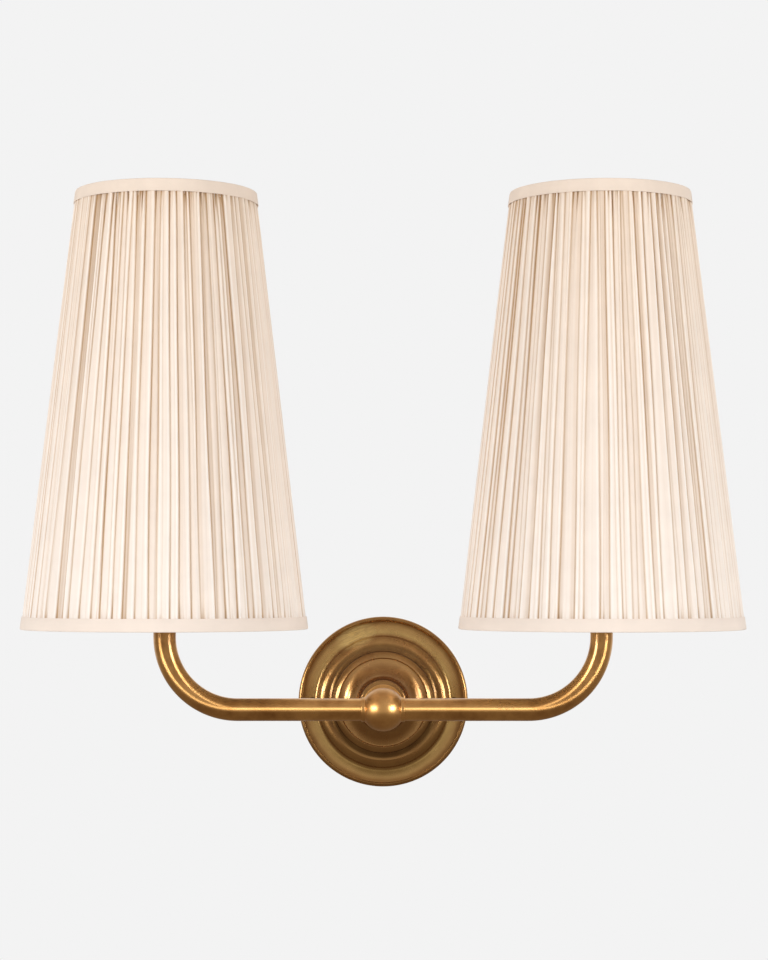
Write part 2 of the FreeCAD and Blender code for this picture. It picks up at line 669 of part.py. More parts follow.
# ---------------------------------------------------------------- lamp holder and bulb
def make_holder(side, across):
    """Make the screw lamp holder on top of an arm, piece by piece from the tube upwards."""
    def stand(name, corners, up):
        """Turn a piece of the holder and stand it on the axis of the shade."""
        body = turned("%s_%s" % (side, name), corners)
        keep(place(body, across, "projection", up), "%s_%s" % (side, name))

    stand("holder_pipe", tube_corners("pipe_bore", "pipe_radius", "holder_pipe_length"),
          "holder_pipe_place")
    stand("holder_cup", [
        ("pipe_hole", "0"),
        ("cup_foot", "0", -GENTLE),
        ("cup_radius", "cup_side"),
        ("cup_radius", "cup_height"),
        ("cup_radius - cup_wall", "cup_height"),
        ("cup_radius - cup_wall", "cup_side", GENTLE),
        ("cup_foot + cup_wall", "cup_floor"),
        ("pipe_hole", "cup_floor"),
    ], "tube_top")
    stand("holder_base", [
        ("pipe_hole", "0"),
        ("cup_foot + cup_wall", "0"),
        ("base_radius", "cup_height - cup_floor"),
        ("base_radius", "base_height"),
        ("base_radius - base_wall", "base_height"),
        ("base_radius - base_wall", "base_floor"),
        ("pipe_hole", "base_floor"),
    ], "base_place")
    stand("holder_sleeve", [
        ("base_radius + fit_gap", "0"),
        ("sleeve_radius", "0"),
        ("sleeve_radius", "flange_top - flange_height"),
        ("flange_radius", "flange_top - flange_height"),
        ("flange_radius", "flange_top"),
        ("sleeve_radius", "flange_top"),
        ("sleeve_radius", "sleeve_height"),
        ("sleeve_mouth", "sleeve_height"),
        ("sleeve_mouth", "sleeve_height - sleeve_top"),
        ("sleeve_radius - sleeve_wall", "sleeve_height - sleeve_top"),
        ("sleeve_radius - sleeve_wall", "sleeve_overlap"),
        ("base_radius + fit_gap", "sleeve_overlap"),
    ], "sleeve_place")
    stand("socket_insert", [
        ("rivet_radius", "0"),
        ("insert_radius", "0"),
        ("insert_radius", "insert_flange"),
        ("insert_neck", "insert_flange"),
        ("insert_neck", "insert_height"),
        ("shell_radius + fit_gap", "insert_height"),
        ("shell_radius + fit_gap", "insert_seat"),
        ("rivet_radius", "insert_seat"),
    ], "insert_place")
    stand("screw_shell", tube_corners("shell_radius - shell_wall", "shell_radius", "shell_height"),
          "seat_place")
    stand("centre_contact", [
        ("0", "0"),
        ("rivet_radius - fit_gap", "0"),
        ("rivet_radius - fit_gap", "rivet_depth"),
        ("contact_radius", "rivet_depth"),
        ("contact_radius", "rivet_depth + contact_edge", GENTLE),
        ("pole", "rivet_depth + contact_height"),
        ("0", "rivet_depth + contact_height"),
    ], "seat_place - rivet_depth")
    stand("shade_ring", [
        ("sleeve_radius + fit_gap", "0"),
        ("ring_radius", "0"),
        ("ring_radius", "ring_height - ring_edge", GENTLE),
        ("ring_radius - ring_edge", "ring_height"),
        ("sleeve_radius + fit_gap", "ring_height"),
    ], "carrier_place + carrier_height + seat_gap")


def make_bulb(side, across):
    """Make the candle bulb: cap with its solder tip, and the blown glass."""
    cap = turned(side + "_bulb_cap", [
        ("0", "0"),
        ("tip_radius", "0"),
        ("tip_radius", "tip_height"),
        ("cap_radius - glass_wall", "glass_cone"),
        ("cap_radius", "glass_cone + glass_wall"),
        ("cap_radius", "cap_height"),
        ("cap_flare", "cap_height + glass_wall"),
        ("cap_flare", "cap_top"),
        ("0", "cap_top"),
    ])
    keep(place(cap, across, "projection", "bulb_place"), side + "_bulb_cap")
    glass = turned(side + "_bulb_glass", [
        ("bulb_neck - glass_wall", "0"),
        ("bulb_neck", "0", BELLY),
        ("bulb_radius", "bulb_belly", BELLY),
        ("bulb_nose + bulb_nose", "bulb_height - bulb_nose", QUARTER),
        ("pole", "bulb_height"),
        ("0", "bulb_height"),
        ("0", "bulb_height - glass_wall - glass_wall"),
        ("bulb_nose", "bulb_height - bulb_nose - glass_wall - glass_wall", -BELLY),
        ("bulb_radius - glass_wall", "bulb_belly", -BELLY),
    ])
    keep(place(glass, across, "projection", "glass_place"), side + "_bulb_glass")


# ---------------------------------------------------------------- shade
def folded(radius, depth, height):
    """Draw one edge of the pleated cover: uneven main folds, alike at every height."""
    count = int(size("pleat_count"))
    points = []
    for fold in range(count):
        crest = fold + 0.22 * math.sin(2.4 * fold)
        dip = fold + 0.5 + 0.16 * math.sin(1.9 * fold + 1)
        drawn_in = depth * (0.82 + 0.18 * math.sin(3.1 * fold))
        for turn, reach in ((crest, radius), (dip, radius - drawn_in)):
            angle = 2 * math.pi * turn / count
            points.append(FreeCAD.Vector(reach * math.cos(angle), reach * math.sin(angle), height))
    return Part.makePolygon(points + points[:1])


def make_cover(side, sign):
    """Fold the cloth cover.  Its folds run to one point, so each fold is flat."""
    low, high = size("edge_gap"), size("shade_height - edge_gap")
    depth = size("pleat_depth")
    shallow = depth * size("fold_high") / size("fold_low")
    edges = [folded(size("fold_low"), depth, low), folded(size("fold_high"), shallow, high)]
    skin = Part.makeLoft(edges, True, True)
    core = Part.makeCone(size("cover_low"), size("cover_high"), high - low, FreeCAD.Vector(0, 0, low))
    cover = doc.addObject("Part::Feature", side + "_shade_cover")
    cover.Shape = skin.cut(core)
    cover.Placement = FreeCAD.Placement(
        FreeCAD.Vector(sign * size("arm_reach"), -size("projection"), size("shade_place")), UPRIGHT)
    keep(cover, side + "_shade_cover")


def make_shade(side, across):
    """Make what holds the cover: stiff lining, edge rings, folded trims and the carrier."""
    def stand(name, body, up="shade_place"):
        """Stand a piece of the shade on its axis."""
        keep(place(body, across, "projection", up), "%s_shade_%s" % (side, name))

    stand("lining", turned(side + "_shade_lining", [
        ("lining_low - backing_wall", "edge_gap"),
        ("lining_low", "edge_gap"),
        ("lining_high", "shade_height - edge_gap"),
        ("lining_high - backing_wall", "shade_height - edge_gap"),
    ]))
    stand("lower_trim", turned(side + "_shade_lower_trim", [
        ("lower_inside", "0"),
        ("shade_bottom", "0"),
        ("shade_bottom - trim_lean", "trim_height"),
        ("shade_bottom - trim_lean - trim_cloth", "trim_height"),
        ("shade_bottom - trim_cloth", "trim_cloth"),
        ("lower_inside + trim_cloth", "trim_cloth"),
        ("lower_inside + trim_cloth", "ring_top - layer_gap"),
        ("lower_inside", "ring_top - layer_gap"),
    ]))
    stand("upper_trim", turned(side + "_shade_upper_trim", [
        ("upper_inside", "trim_height - trim_inside"),
        ("upper_inside + trim_cloth", "trim_height - trim_inside"),
        ("upper_inside + trim_cloth", "trim_height - trim_cloth"),
        ("shade_top - trim_cloth", "trim_height - trim_cloth"),
        ("shade_top + trim_lean - trim_cloth", "0"),
        ("shade_top + trim_lean", "0"),
        ("shade_top", "trim_height"),
        ("upper_inside", "trim_height"),
    ]), "shade_place + shade_height - trim_height")
    for name, radius, up in (("lower_ring", "lower_wire", "edge_gap + wire_radius"),
                             ("upper_ring", "upper_wire", "shade_height - edge_gap - wire_radius")):
        ring = doc.addObject("Part::Torus", "%s_%s" % (side, name))
        bind(ring, Radius1=radius, Radius2="wire_radius")
        stand(name, ring, "shade_place + " + up)

    carrier = turned(side + "_shade_carrier", [
        ("sleeve_radius + loose_gap", "spider_drop"),
        ("carrier_radius", "spider_drop"),
        ("carrier_radius", "spider_drop + carrier_height"),
        ("sleeve_radius + loose_gap", "spider_drop + carrier_height"),
    ])
    strip = draw_on(carrier, "XZ_Plane", side + "_carrier_strip")
    top = "spider_drop + carrier_height"
    outline(strip, [
        ("carrier_radius - arm_height", top + " - arm_height"),
        ("carrier_radius + arm_level", top + " - arm_height"),
        ("lower_wire - wire_radius", "ring_top"),
        ("lower_wire", "ring_top"),
        ("lower_wire", "ring_top + arm_height"),
        ("carrier_radius + arm_level", top),
        ("carrier_radius - arm_height", top),
    ])
    pad = carrier.newObject("PartDesign::Pad", side + "_carrier_arm")
    pad.Profile = strip
    pad.Midplane = True
    bind(pad, Length="arm_width")
    arms = carrier.newObject("PartDesign::PolarPattern", side + "_carrier_arms")
    arms.Originals = [pad]
    arms.Axis = (strip, ["V_Axis"])
    arms.Angle = 360
    arms.Occurrences = 3
    carrier.Tip = arms
    quarter = FreeCAD.Rotation(FreeCAD.Vector(0, 0, 1), 90)
    keep(place(carrier, across, "projection", "shade_place", quarter), side + "_shade_carrier")


# ---------------------------------------------------------------- the whole light
make_backplate()
make_stem()
make_ball()
make_strap()
make_screws()
make_terminal_block()
for side, sign, across, turn in (("left", -1, "- arm_reach", HALF_TURN),
                                 ("right", 1, "arm_reach", UPRIGHT)):
    make_arm(side, turn)
    make_lead(side, sign)
    make_holder(side, across)
    make_bulb(side, across)
    make_cover(side, sign)
    make_shade(side, across)

doc.recompute()
for thing in doc.Objects:
    if {"Invalid", "Error"} & set(thing.State):
        raise RuntimeError("%s could not be made: %s" % (thing.Label, thing.State))
os.makedirs("parts", exist_ok=True)
for thing in parts:
    if thing.Shape.isNull() or not thing.Shape.isValid():
        raise RuntimeError("%s has no sound shape" % thing.Label)
for thing in parts:
    thing.Shape.exportStep(os.path.join("parts", thing.Label + ".step"))
print("%d sub-parts written" % len(parts))
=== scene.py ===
"""Finish a double arm wall sconce: antique brass, candle bulbs and gathered cloth shades.

Each class models one sub-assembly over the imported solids, or finishes copies of them.  The scene
is in metres, with Z up, the room towards -Y and the wall plane at Y = 0.  The classes keep their
sizes in millimetres, and the studio keeps its own in metres.
"""

import json
import logging
import math
from dataclasses import dataclass, field
from enum import Enum
from typing import Any, Iterable, Sequence, Union

import bpy
import numpy as np
from bpy.types import Material, Mesh, Node, NodeSocket, NodeTree, Object
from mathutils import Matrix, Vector


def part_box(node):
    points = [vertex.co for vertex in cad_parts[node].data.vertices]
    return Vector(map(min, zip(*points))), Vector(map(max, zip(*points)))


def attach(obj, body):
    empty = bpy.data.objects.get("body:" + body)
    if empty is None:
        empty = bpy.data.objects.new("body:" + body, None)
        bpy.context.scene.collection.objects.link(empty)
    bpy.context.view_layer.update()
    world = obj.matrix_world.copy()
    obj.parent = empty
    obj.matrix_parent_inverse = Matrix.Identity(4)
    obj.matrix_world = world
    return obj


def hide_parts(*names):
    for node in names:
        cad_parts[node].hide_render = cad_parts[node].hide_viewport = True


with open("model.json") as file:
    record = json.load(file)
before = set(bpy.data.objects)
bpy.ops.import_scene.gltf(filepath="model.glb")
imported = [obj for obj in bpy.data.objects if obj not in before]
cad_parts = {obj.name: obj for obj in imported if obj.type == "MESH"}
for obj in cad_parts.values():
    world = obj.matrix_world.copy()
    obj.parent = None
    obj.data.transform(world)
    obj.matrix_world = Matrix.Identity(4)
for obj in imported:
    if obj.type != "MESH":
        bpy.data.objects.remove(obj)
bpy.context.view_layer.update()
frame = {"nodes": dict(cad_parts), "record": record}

MM = 0.001
FULL_TURN = 2 * math.pi
QUARTER = (math.sqrt(2) - 1) / 2  # height of a quarter round over its chord
PROJECTION = 88.0  # wall to the middle of the tubes
PIPE_HOLE = 5.06  # radius of the holes for the threaded pipe
TUBE_HOLE = 6.41  # radius of the holes for the ends of the tubes
ONE_WAVE = FULL_TURN / 20  # scale that gives a wave texture one wave to a unit
log = logging.getLogger("wall_sconce")

Corner = tuple[float, float, float]
Source = Union[Node, NodeSocket]
Stops = Sequence[tuple[float, str]]


class Side(Enum):
    """The two arms, with the direction that each one leaves the ball in."""

    LEFT = -1
    RIGHT = 1

    @property
    def word(self) -> str:
        """Give the word that starts this side's node names."""
        return self.name.lower()


class Facing(Enum):
    """Where the axis of a turned piece points, as a turn of the upright one."""

    UP = (0.0, 0.0, 0.0)
    ROOM = (math.pi / 2, 0.0, 0.0)
    RIGHT = (0.0, math.pi / 2, 0.0)


class Grain(Enum):
    """Which way a highlight is drawn out by the marks of polishing, across those marks."""

    NONE = None
    ALONG_TUBE = {"direction_type": "UV_MAP", "uv_map": "tube"}
    ROUND_PLATE = {"direction_type": "RADIAL", "axis": "Y"}


# ---------------------------------------------------------------- colours and nodes
def linear(code: str) -> tuple[float, float, float, float]:
    """Turn an sRGB hex colour into the linear one that shaders take.

    Args:
        code: A colour such as "#b08040".

    Returns:
        Red, green, blue and alpha.
    """
    parts = [int(code[i:i + 2], 16) / 255 for i in (1, 3, 5)]
    tones = [c / 12.92 if c <= 0.04045 else ((c + 0.055) / 1.055) ** 2.4 for c in parts]
    return (tones[0], tones[1], tones[2], 1.0)


def darker(code: str, share: float) -> tuple[float, ...]:
    """Give the linear colour of an sRGB hex one, with only a share of its light."""
    return tuple(share * c for c in linear(code)[:3]) + (1.0,)


def feed(tree: NodeTree, node: Node, inputs: dict[Any, Any]) -> None:
    """Set or link a node's inputs.

    Args:
        tree: The node tree.
        node: The node.
        inputs: Input name or number to a value, to a socket, or to a node, whose first output
            is then meant.
    """
    for name, value in inputs.items():
        if isinstance(value, Node):
            value = value.outputs[0]
        if isinstance(value, NodeSocket):
            tree.links.new(value, node.inputs[name])
        else:
            node.inputs[name].default_value = value


def add_node(tree: NodeTree, kind: str, inputs: dict[Any, Any] | None = None,
             stops: Stops = (), **settings: Any) -> Node:
    """Add a node with its options, inputs and links.

    Args:
        tree: The node tree.
        kind: The node's type without "ShaderNode" in front.
        inputs: What feed() sets or links.
        stops: Place and sRGB colour of each stop, in order, if the node has a colour ramp.
        **settings: The node's own options.

    Returns:
        The new node.
    """
    node = tree.nodes.new("ShaderNode" + kind)
    for name, value in settings.items():
        setattr(node, name, value)
    feed(tree, node, inputs or {})
    if stops:
        marks = node.color_ramp.elements
        while len(marks) < len(stops):
            marks.new(0.5)
        for mark, (place, code) in zip(marks, stops):
            mark.position = place
            mark.color = linear(code)
    return node


def start_material(name: str) -> tuple[Material, NodeTree, Node, NodeSocket]:
    """Start a node material.

    Args:
        name: What the real material is called.

    Returns:
        The material, its tree, its main shader and the place on the object.
    """
    material = bpy.data.materials.new(name)
    material.use_nodes = True
    tree = material.node_tree
    place = add_node(tree, "TexCoord").outputs["Object"]
    return material, tree, tree.nodes["Principled BSDF"], place


def let_light_through(tree: NodeTree, shader: Node, tone: Source, share: float) -> None:
    """Let a thin sheet pass part of the light that falls on its other face.

    Args:
        tree: The node tree.
        shader: The sheet's main shader.
        tone: Colour of what comes through.
        share: How much of the surface passes light, from 0 to 1.
    """
    through = add_node(tree, "BsdfTranslucent", {"Color": tone})
    both = add_node(tree, "MixShader", {0: share, 1: shader, 2: through})
    feed(tree, tree.nodes["Material Output"], {"Surface": both})


def show_by_ray(tree: NodeTree, look: Source, others: dict[str, Source]) -> Source:
    """Show other looks to some kinds of ray.

    Args:
        tree: The node tree.
        look: What every other ray sees.
        others: Kind of ray to what it sees.

    Returns:
        The joined look.
    """
    rays = add_node(tree, "LightPath")
    for kind, other in others.items():
        look = add_node(tree, "MixShader", {0: rays.outputs[kind], 1: look, 2: other})
    return look


@dataclass(frozen=True)
class AgedBrass:
    """Brass that was polished, let darken, rubbed back and waxed.

    The eye sees a warm metal with soft clouds of brown tarnish, faint rubbing marks, brighter
    places where hands and cloths reach, and a pale sheen where the wax mirrors a lamp.
    """

    name: str
    bright: str = "#e6b26e"
    dark: str = "#b07a3f"
    roughness: float = 0.3
    cloud_mm: float = 14.0
    rub_mm: float = 0.9
    tarnish: float = 0.5
    grain: Grain = Grain.NONE
    brushing: float = 0.0
    wax: float = 0.4
    wax_roughness: float = 0.2
    rubbing: float = 0.06

    def build(self) -> Material:
        """Make the material."""
        material, tree, shader, place = start_material(self.name)
        clouds = add_node(tree, "TexNoise", {"Vector": place, "Scale": 1 / (self.cloud_mm * MM),
                                             "Detail": 5.0, "Roughness": 0.62})
        spread = add_node(tree, "MapRange", {
            "Value": clouds, "From Min": 0.5 - 0.3 * self.tarnish, "From Max": 0.78})
        tone = add_node(tree, "ValToRGB", {"Fac": spread}, [(0.0, self.bright), (1.0, self.dark)])
        rough = add_node(tree, "MapRange", {
            "Value": clouds, "From Min": 0.3, "From Max": 0.75,
            "To Min": self.roughness - 0.05, "To Max": self.roughness + 0.12})
        tone, rough = self.wear_and_painted_light(tree, place, tone, rough)
        rubs = add_node(tree, "TexNoise", {"Vector": place, "Scale": 1 / (self.rub_mm * MM),
                                           "Detail": 4.0})
        bump = add_node(tree, "Bump", {"Height": rubs, "Strength": self.rubbing,
                                       "Distance": 0.2 * MM})
        feed(tree, shader, {"Base Color": tone, "Roughness": rough, "Normal": bump,
                            "Metallic": 1.0, "Coat Weight": self.wax,
                            "Coat Roughness": self.wax_roughness})
        if self.grain is not Grain.NONE:
            tangent = add_node(tree, "Tangent", **self.grain.value)
            feed(tree, shader, {"Tangent": tangent, "Anisotropic": self.brushing})
        return material

    def wear_and_painted_light(self, tree: NodeTree, place: Source, tone: Source, rough: Source
             ) -> tuple[Source, Source]:
        """Leave tone and roughness as they are; the spun plate overrides this."""
        return tone, rough


@dataclass(frozen=True)
class SpunPlateBrass(AgedBrass):
    """The same brass on the spun plate, whose rings have aged unevenly.

    Olive gold on the open flange, dark in the groove and the cove, and reddish in the middle.
    The dark of the groove and the cove is partly tarnish where polish never reaches and
    partly painted shade.  Rings of equal age follow the lathe.  A painted highlight lies on
    the upper left of the flange, drawn as bare rubbed brass.
    """

    reach_mm: float = 50.5
    ring_share: float = 0.65
    wander_mm: float = 11.1
    # Cove (0.61, 0.66) and rim groove (0.925, 0.955) rings: partly tarnish, partly painted shade.
    rings: tuple[tuple[float, str], ...] = (
        (0.24, "#9a7043"), (0.32, "#95683c"), (0.42, "#9f7143"), (0.48, "#c99c68"),
        (0.54, "#ad8354"), (0.58, "#92683a"), (0.61, "#523519"), (0.66, "#75502b"),
        (0.7, "#b98b56"), (0.745, "#a07846"), (0.775, "#987246"), (0.82, "#e4c37f"),
        (0.89, "#cfa86d"), (0.925, "#8e6232"), (0.955, "#6c4823"), (0.98, "#aa7b44"))
    # A painted highlight: a pale streaked patch on the upper left of the flange, drawn as rubbed
    # brass.
    highlight_patch_tone: str = "#ffe39a"
    highlight_patch_roughness: float = 0.62
    highlight_patch_at: tuple[float, float, float] = (-16.0 * MM, -5.0 * MM, 38.5 * MM)
    highlight_patch_reach: tuple[float, float, float] = (15.0 * MM, 9.0 * MM, 9.0 * MM)
    highlight_patch_turn: float = -0.38

    def wear_and_painted_light(self, tree: NodeTree, place: Source, tone: Source, rough: Source
             ) -> tuple[Source, Source]:
        """Change the brass ring by ring under the same clouds, and paint one highlight patch.

        Args:
            tree: The node tree.
            place: Object coordinates.
            tone: The mottled brass.
            rough: Its roughness.

        Returns:
            The ringed colour with the painted highlight, and the roughness with the matter patch.
        """
        flat = add_node(tree, "VectorMath", {0: place, 1: (1.0, 0.0, 1.0)}, operation="MULTIPLY")
        radius = add_node(tree, "VectorMath", {0: flat}, operation="LENGTH").outputs["Value"]
        share = add_node(tree, "Math", {0: radius, 1: 1 / (self.reach_mm * MM)},
                         operation="MULTIPLY")
        wander = add_node(tree, "TexNoise", {
            "Vector": place, "Scale": 1 / (self.wander_mm * MM), "Detail": 3.0})
        shift = add_node(tree, "MapRange", {"Value": wander, "To Min": -0.012, "To Max": 0.012})
        ringed = add_node(tree, "Math", {0: share, 1: shift})
        rings = add_node(tree, "ValToRGB", {"Fac": ringed}, self.rings)
        mottled = add_node(tree, "Mix", {0: 1 - self.ring_share, 6: rings, 7: tone},
                           data_type="RGBA").outputs[2]
        # Painted highlight on the upper left of the flange, drawn as bare rubbed brass.
        patch = self.painted_highlight_patch(tree, place)
        highlighted = add_node(tree, "Mix", {0: patch, 6: mottled, 7: linear(self.highlight_patch_tone)},
                         data_type="RGBA").outputs[2]
        return highlighted, add_node(tree, "MapRange", {"Value": patch, "To Min": rough,
                                                  "To Max": self.highlight_patch_roughness})

    def painted_highlight_patch(self, tree: NodeTree, place: Source) -> Source:
        """Paint a highlight as rubbed brass streaked along the ring, upper left on the flange.

        Args:
            tree: The node tree.
            place: Object coordinates.

        Returns:
            How strong the painted highlight is at each place, from 0 to 1.
        """
        local = add_node(tree, "Mapping", {
            "Vector": place, "Location": self.highlight_patch_at, "Rotation": (0.0, self.highlight_patch_turn, 0.0),
            "Scale": self.highlight_patch_reach}, vector_type="TEXTURE")
        far = add_node(tree, "VectorMath", {0: local}, operation="LENGTH").outputs["Value"]
        near = add_node(tree, "MapRange", {"Value": far, "From Min": 0.35, "From Max": 1.0,
                                           "To Min": 1.0, "To Max": 0.0},
                        interpolation_type="SMOOTHSTEP")
        drawn = add_node(tree, "Mapping", {"Vector": local, "Scale": (2.0, 9.0, 9.0)})
        streaks = add_node(tree, "TexNoise", {"Vector": drawn, "Scale": 1.6, "Detail": 5.0,
                                              "Roughness": 0.65})
        sharp = add_node(tree, "MapRange", {"Value": streaks, "From Min": 0.38, "From Max": 0.62,
                                            "To Min": 0.25, "To Max": 1.0})
        return add_node(tree, "Math", {0: near, 1: sharp}, operation="MULTIPLY")


@dataclass(frozen=True)
class PlainMetal:
    """A small worked metal part: zinc plated steel, bright brass or drawn aluminium.

    The eye sees an even satin surface with faint drawing marks.
    """

    name: str
    tone: str
    roughness: float = 0.35
    grain_mm: float = 0.6

    def build(self) -> Material:
        """Make the material."""
        material, tree, shader, place = start_material(self.name)
        grain = add_node(tree, "TexNoise", {"Vector": place, "Scale": 1 / (self.grain_mm * MM),
                                            "Detail": 3.0})
        rough = add_node(tree, "MapRange", {"Value": grain, "To Min": self.roughness - 0.07,
                                            "To Max": self.roughness + 0.1})
        worn = add_node(tree, "Mix", {0: grain, 6: linear(self.tone),
                                      7: darker(self.tone, 0.78)}, data_type="RGBA")
        feed(tree, shader, {"Base Color": worn.outputs[2], "Roughness": rough, "Metallic": 1.0})
        return material


@dataclass(frozen=True)
class Moulding:
    """Moulded plastic: thermoset holder, laminated lining, cable sheath or powder coat.

    The eye sees a dull even colour with a very fine orange peel.
    """

    name: str
    tone: str
    roughness: float = 0.5
    peel_mm: float = 0.7
    sheer: float = 0.0

    def build(self) -> Material:
        """Make the material."""
        material, tree, shader, place = start_material(self.name)
        peel = add_node(tree, "TexNoise", {"Vector": place, "Scale": 1 / (self.peel_mm * MM)})
        tone = add_node(tree, "Mix", {0: peel, 6: linear(self.tone),
                                      7: darker(self.tone, 0.9)}, data_type="RGBA").outputs[2]
        bump = add_node(tree, "Bump", {"Height": peel, "Strength": 0.12, "Distance": 0.1 * MM})
        feed(tree, shader, {"Base Color": tone, "Normal": bump, "Roughness": self.roughness,
                            "IOR": 1.5})
        if self.sheer:
            let_light_through(tree, shader, tone, self.sheer)
        return material


@dataclass(frozen=True)
class Cloth:
    """Plain woven cotton voile, gathered over a lining or laid flat as tape.

    The eye sees a soft cream cloth with painted shade, warmer and darker, down in the folds and
    a painted highlight on the crests, with a faint thread that shows as tiny lines across the
    folds.  The real thread is 0.2 mm, too fine for the picture, so it is drawn nearly twice as
    coarse.  The colours are those of a lit crest, of plain cloth and of a shaded valley, at the
    bottom and at the top of the shade, darker towards the top.
    """

    name: str
    low: tuple[str, str, str]
    high: tuple[str, str, str]
    plain: float = 0.36
    thread_mm: float = 0.377
    slub_mm: float = 17.14
    width_mm: float = 505.0
    height_mm: float = 246.0
    thread_depth: float = 0.25
    sheer: float = 0.22

    def build(self) -> Material:
        """Make the material."""
        material, tree, shader, _ = start_material(self.name)
        uv = add_node(tree, "UVMap", uv_map="cloth")
        size = add_node(tree, "Mapping", {
            "Vector": uv, "Scale": (self.width_mm / self.thread_mm,
                                    self.height_mm / self.thread_mm, 1.0)})
        across, up = (add_node(tree, "TexWave", {"Vector": size, "Scale": ONE_WAVE, "Detail": 1.0,
                                                 "Distortion": 0.6}, bands_direction=way)
                      for way in "XY")
        weave = add_node(tree, "Math", {0: across.outputs["Fac"], 1: up.outputs["Fac"]},
                         operation="MULTIPLY")
        bump = add_node(tree, "Bump", {"Height": weave, "Strength": self.thread_depth,
                                       "Distance": 0.12 * MM})
        # Painted highlight and shade of the folds: 0 on a lit crest, 1 in a shaded valley.
        fold = add_node(tree, "Attribute", attribute_name="fold").outputs["Fac"]
        low, high = (add_node(tree, "ValToRGB", {"Fac": fold},
                              list(zip((0.0, self.plain, 1.0), tones)))
                     for tones in (self.low, self.high))
        rise = add_node(tree, "SeparateXYZ", {0: uv}).outputs["Y"]
        tone = add_node(tree, "Mix", {0: rise, 6: low, 7: high}, data_type="RGBA").outputs[2]
        slub = add_node(tree, "TexNoise", {
            "Vector": size, "Scale": self.thread_mm / self.slub_mm, "Detail": 3.0})
        shade = add_node(tree, "MapRange", {"Value": slub, "From Min": 0.3, "From Max": 0.7,
                                            "To Min": 0.965, "To Max": 1.02})
        woven = add_node(tree, "VectorMath", {0: tone, "Scale": shade}, operation="SCALE")
        feed(tree, shader, {"Base Color": woven, "Normal": bump, "Roughness": 0.85,
                            "Sheen Weight": 0.15, "Sheen Roughness": 0.5})
        let_light_through(tree, shader, woven, self.sheer)
        return material


@dataclass(frozen=True)
class FrostedGlass:
    """A candle bulb's glass, etched inside: milky white with a soft gloss."""

    name: str = "frosted_bulb_glass"
    tone: str = "#f4f0e6"
    frost_mm: float = 2.5

    def build(self) -> Material:
        """Make the material."""
        material, tree, shader, place = start_material(self.name)
        frost = add_node(tree, "TexNoise", {"Vector": place, "Scale": 1 / (self.frost_mm * MM)})
        rough = add_node(tree, "MapRange", {"Value": frost, "To Min": 0.22, "To Max": 0.34})
        feed(tree, shader, {"Roughness": rough, "Base Color": linear(self.tone), "IOR": 1.5,
                            "Transmission Weight": 0.15, "Subsurface Weight": 0.4,
                            "Subsurface Scale": 4 * MM})
        return material


# ---------------------------------------------------------------- modelling
def deselect() -> None:
    """Leave edit mode and select nothing."""
    if bpy.context.object and bpy.context.object.mode != "OBJECT":
        bpy.ops.object.mode_set(mode="OBJECT")
    bpy.ops.object.select_all(action="DESELECT")


def edit_all() -> None:
    """Enter edit mode with everything selected."""
    bpy.ops.object.mode_set(mode="EDIT")
    bpy.ops.mesh.select_all(action="SELECT")


def leave_edit() -> None:
    """Turn every face outward and leave edit mode."""
    bpy.ops.mesh.select_all(action="SELECT")
    bpy.ops.mesh.normals_make_consistent(inside=False)
    bpy.ops.object.mode_set(mode="OBJECT")


def pick(*pieces: Object) -> None:
    """Select only these pieces, and make the first one active."""
    deselect()
    for piece in pieces:
        piece.select_set(True)
    bpy.context.view_layer.objects.active = pieces[0]


def join(*pieces: Object) -> Object:
    """Join pieces into the first one, which is returned."""
    pick(*pieces)
    bpy.ops.object.join()
    return pieces[0]


def modify(piece: Object, kind: str, **settings: Any) -> None:
    """Put a modifier on a piece and apply it.

    Args:
        piece: The piece.
        kind: The modifier's type.
        **settings: Its options.
    """
    pick(piece)
    modifier = piece.modifiers.new(kind.lower(), kind)
    for name, value in settings.items():
        setattr(modifier, name, value)
    bpy.ops.object.modifier_apply(modifier=modifier.name)


def spots_of(mesh: Mesh) -> np.ndarray:
    """Read where a mesh's points are, one to a row."""
    spots = np.empty(len(mesh.vertices) * 3)
    mesh.vertices.foreach_get("co", spots)
    return spots.reshape(-1, 3)


def add_map(mesh: Mesh, name: str, across: np.ndarray, up: np.ndarray) -> None:
    """Give a mesh a UV map.

    Args:
        mesh: The mesh.
        name: The map's name.
        across: Each point's place across the map.
        up: Its place up the map.
    """
    corners = np.empty(len(mesh.loops), dtype=np.int32)
    mesh.loops.foreach_get("vertex_index", corners)
    uv = np.column_stack([across, up])[corners].astype(np.float32)
    mesh.uv_layers.new(name=name).data.foreach_set("uv", uv.ravel())


def arc(start: tuple[float, float], stop: tuple[float, float], bulge: float,
        steps: int = 8) -> list[tuple[float, float]]:
    """Give the points of an arc after its start, as (radius, height).

    Args:
        start: Where it starts.
        stop: Where it ends.
        bulge: Its height over its chord, above 0 where the piece swells.
        steps: How many points it has.

    Returns:
        The points, the last one at the stop.
    """
    if abs(bulge) < 1e-6:
        return [stop]
    first, last = Vector(start), Vector(stop)
    along = last - first
    out = Vector((along.y, -along.x)) / along.length
    radius = along.length * (1 + 4 * bulge ** 2) / (8 * abs(bulge))
    sign = 1 if bulge > 0 else -1
    centre = (first + last) / 2 - out * sign * (radius - abs(bulge) * along.length)
    half = 2 * math.atan(2 * abs(bulge))
    points = []
    for step in range(1, steps + 1):
        angle = half * (2 * step / steps - 1)
        spot = centre + out * sign * radius * math.cos(angle) \
            + along.normalized() * radius * math.sin(angle)
        points.append((max(spot.x, 0.0), spot.y))
    return points


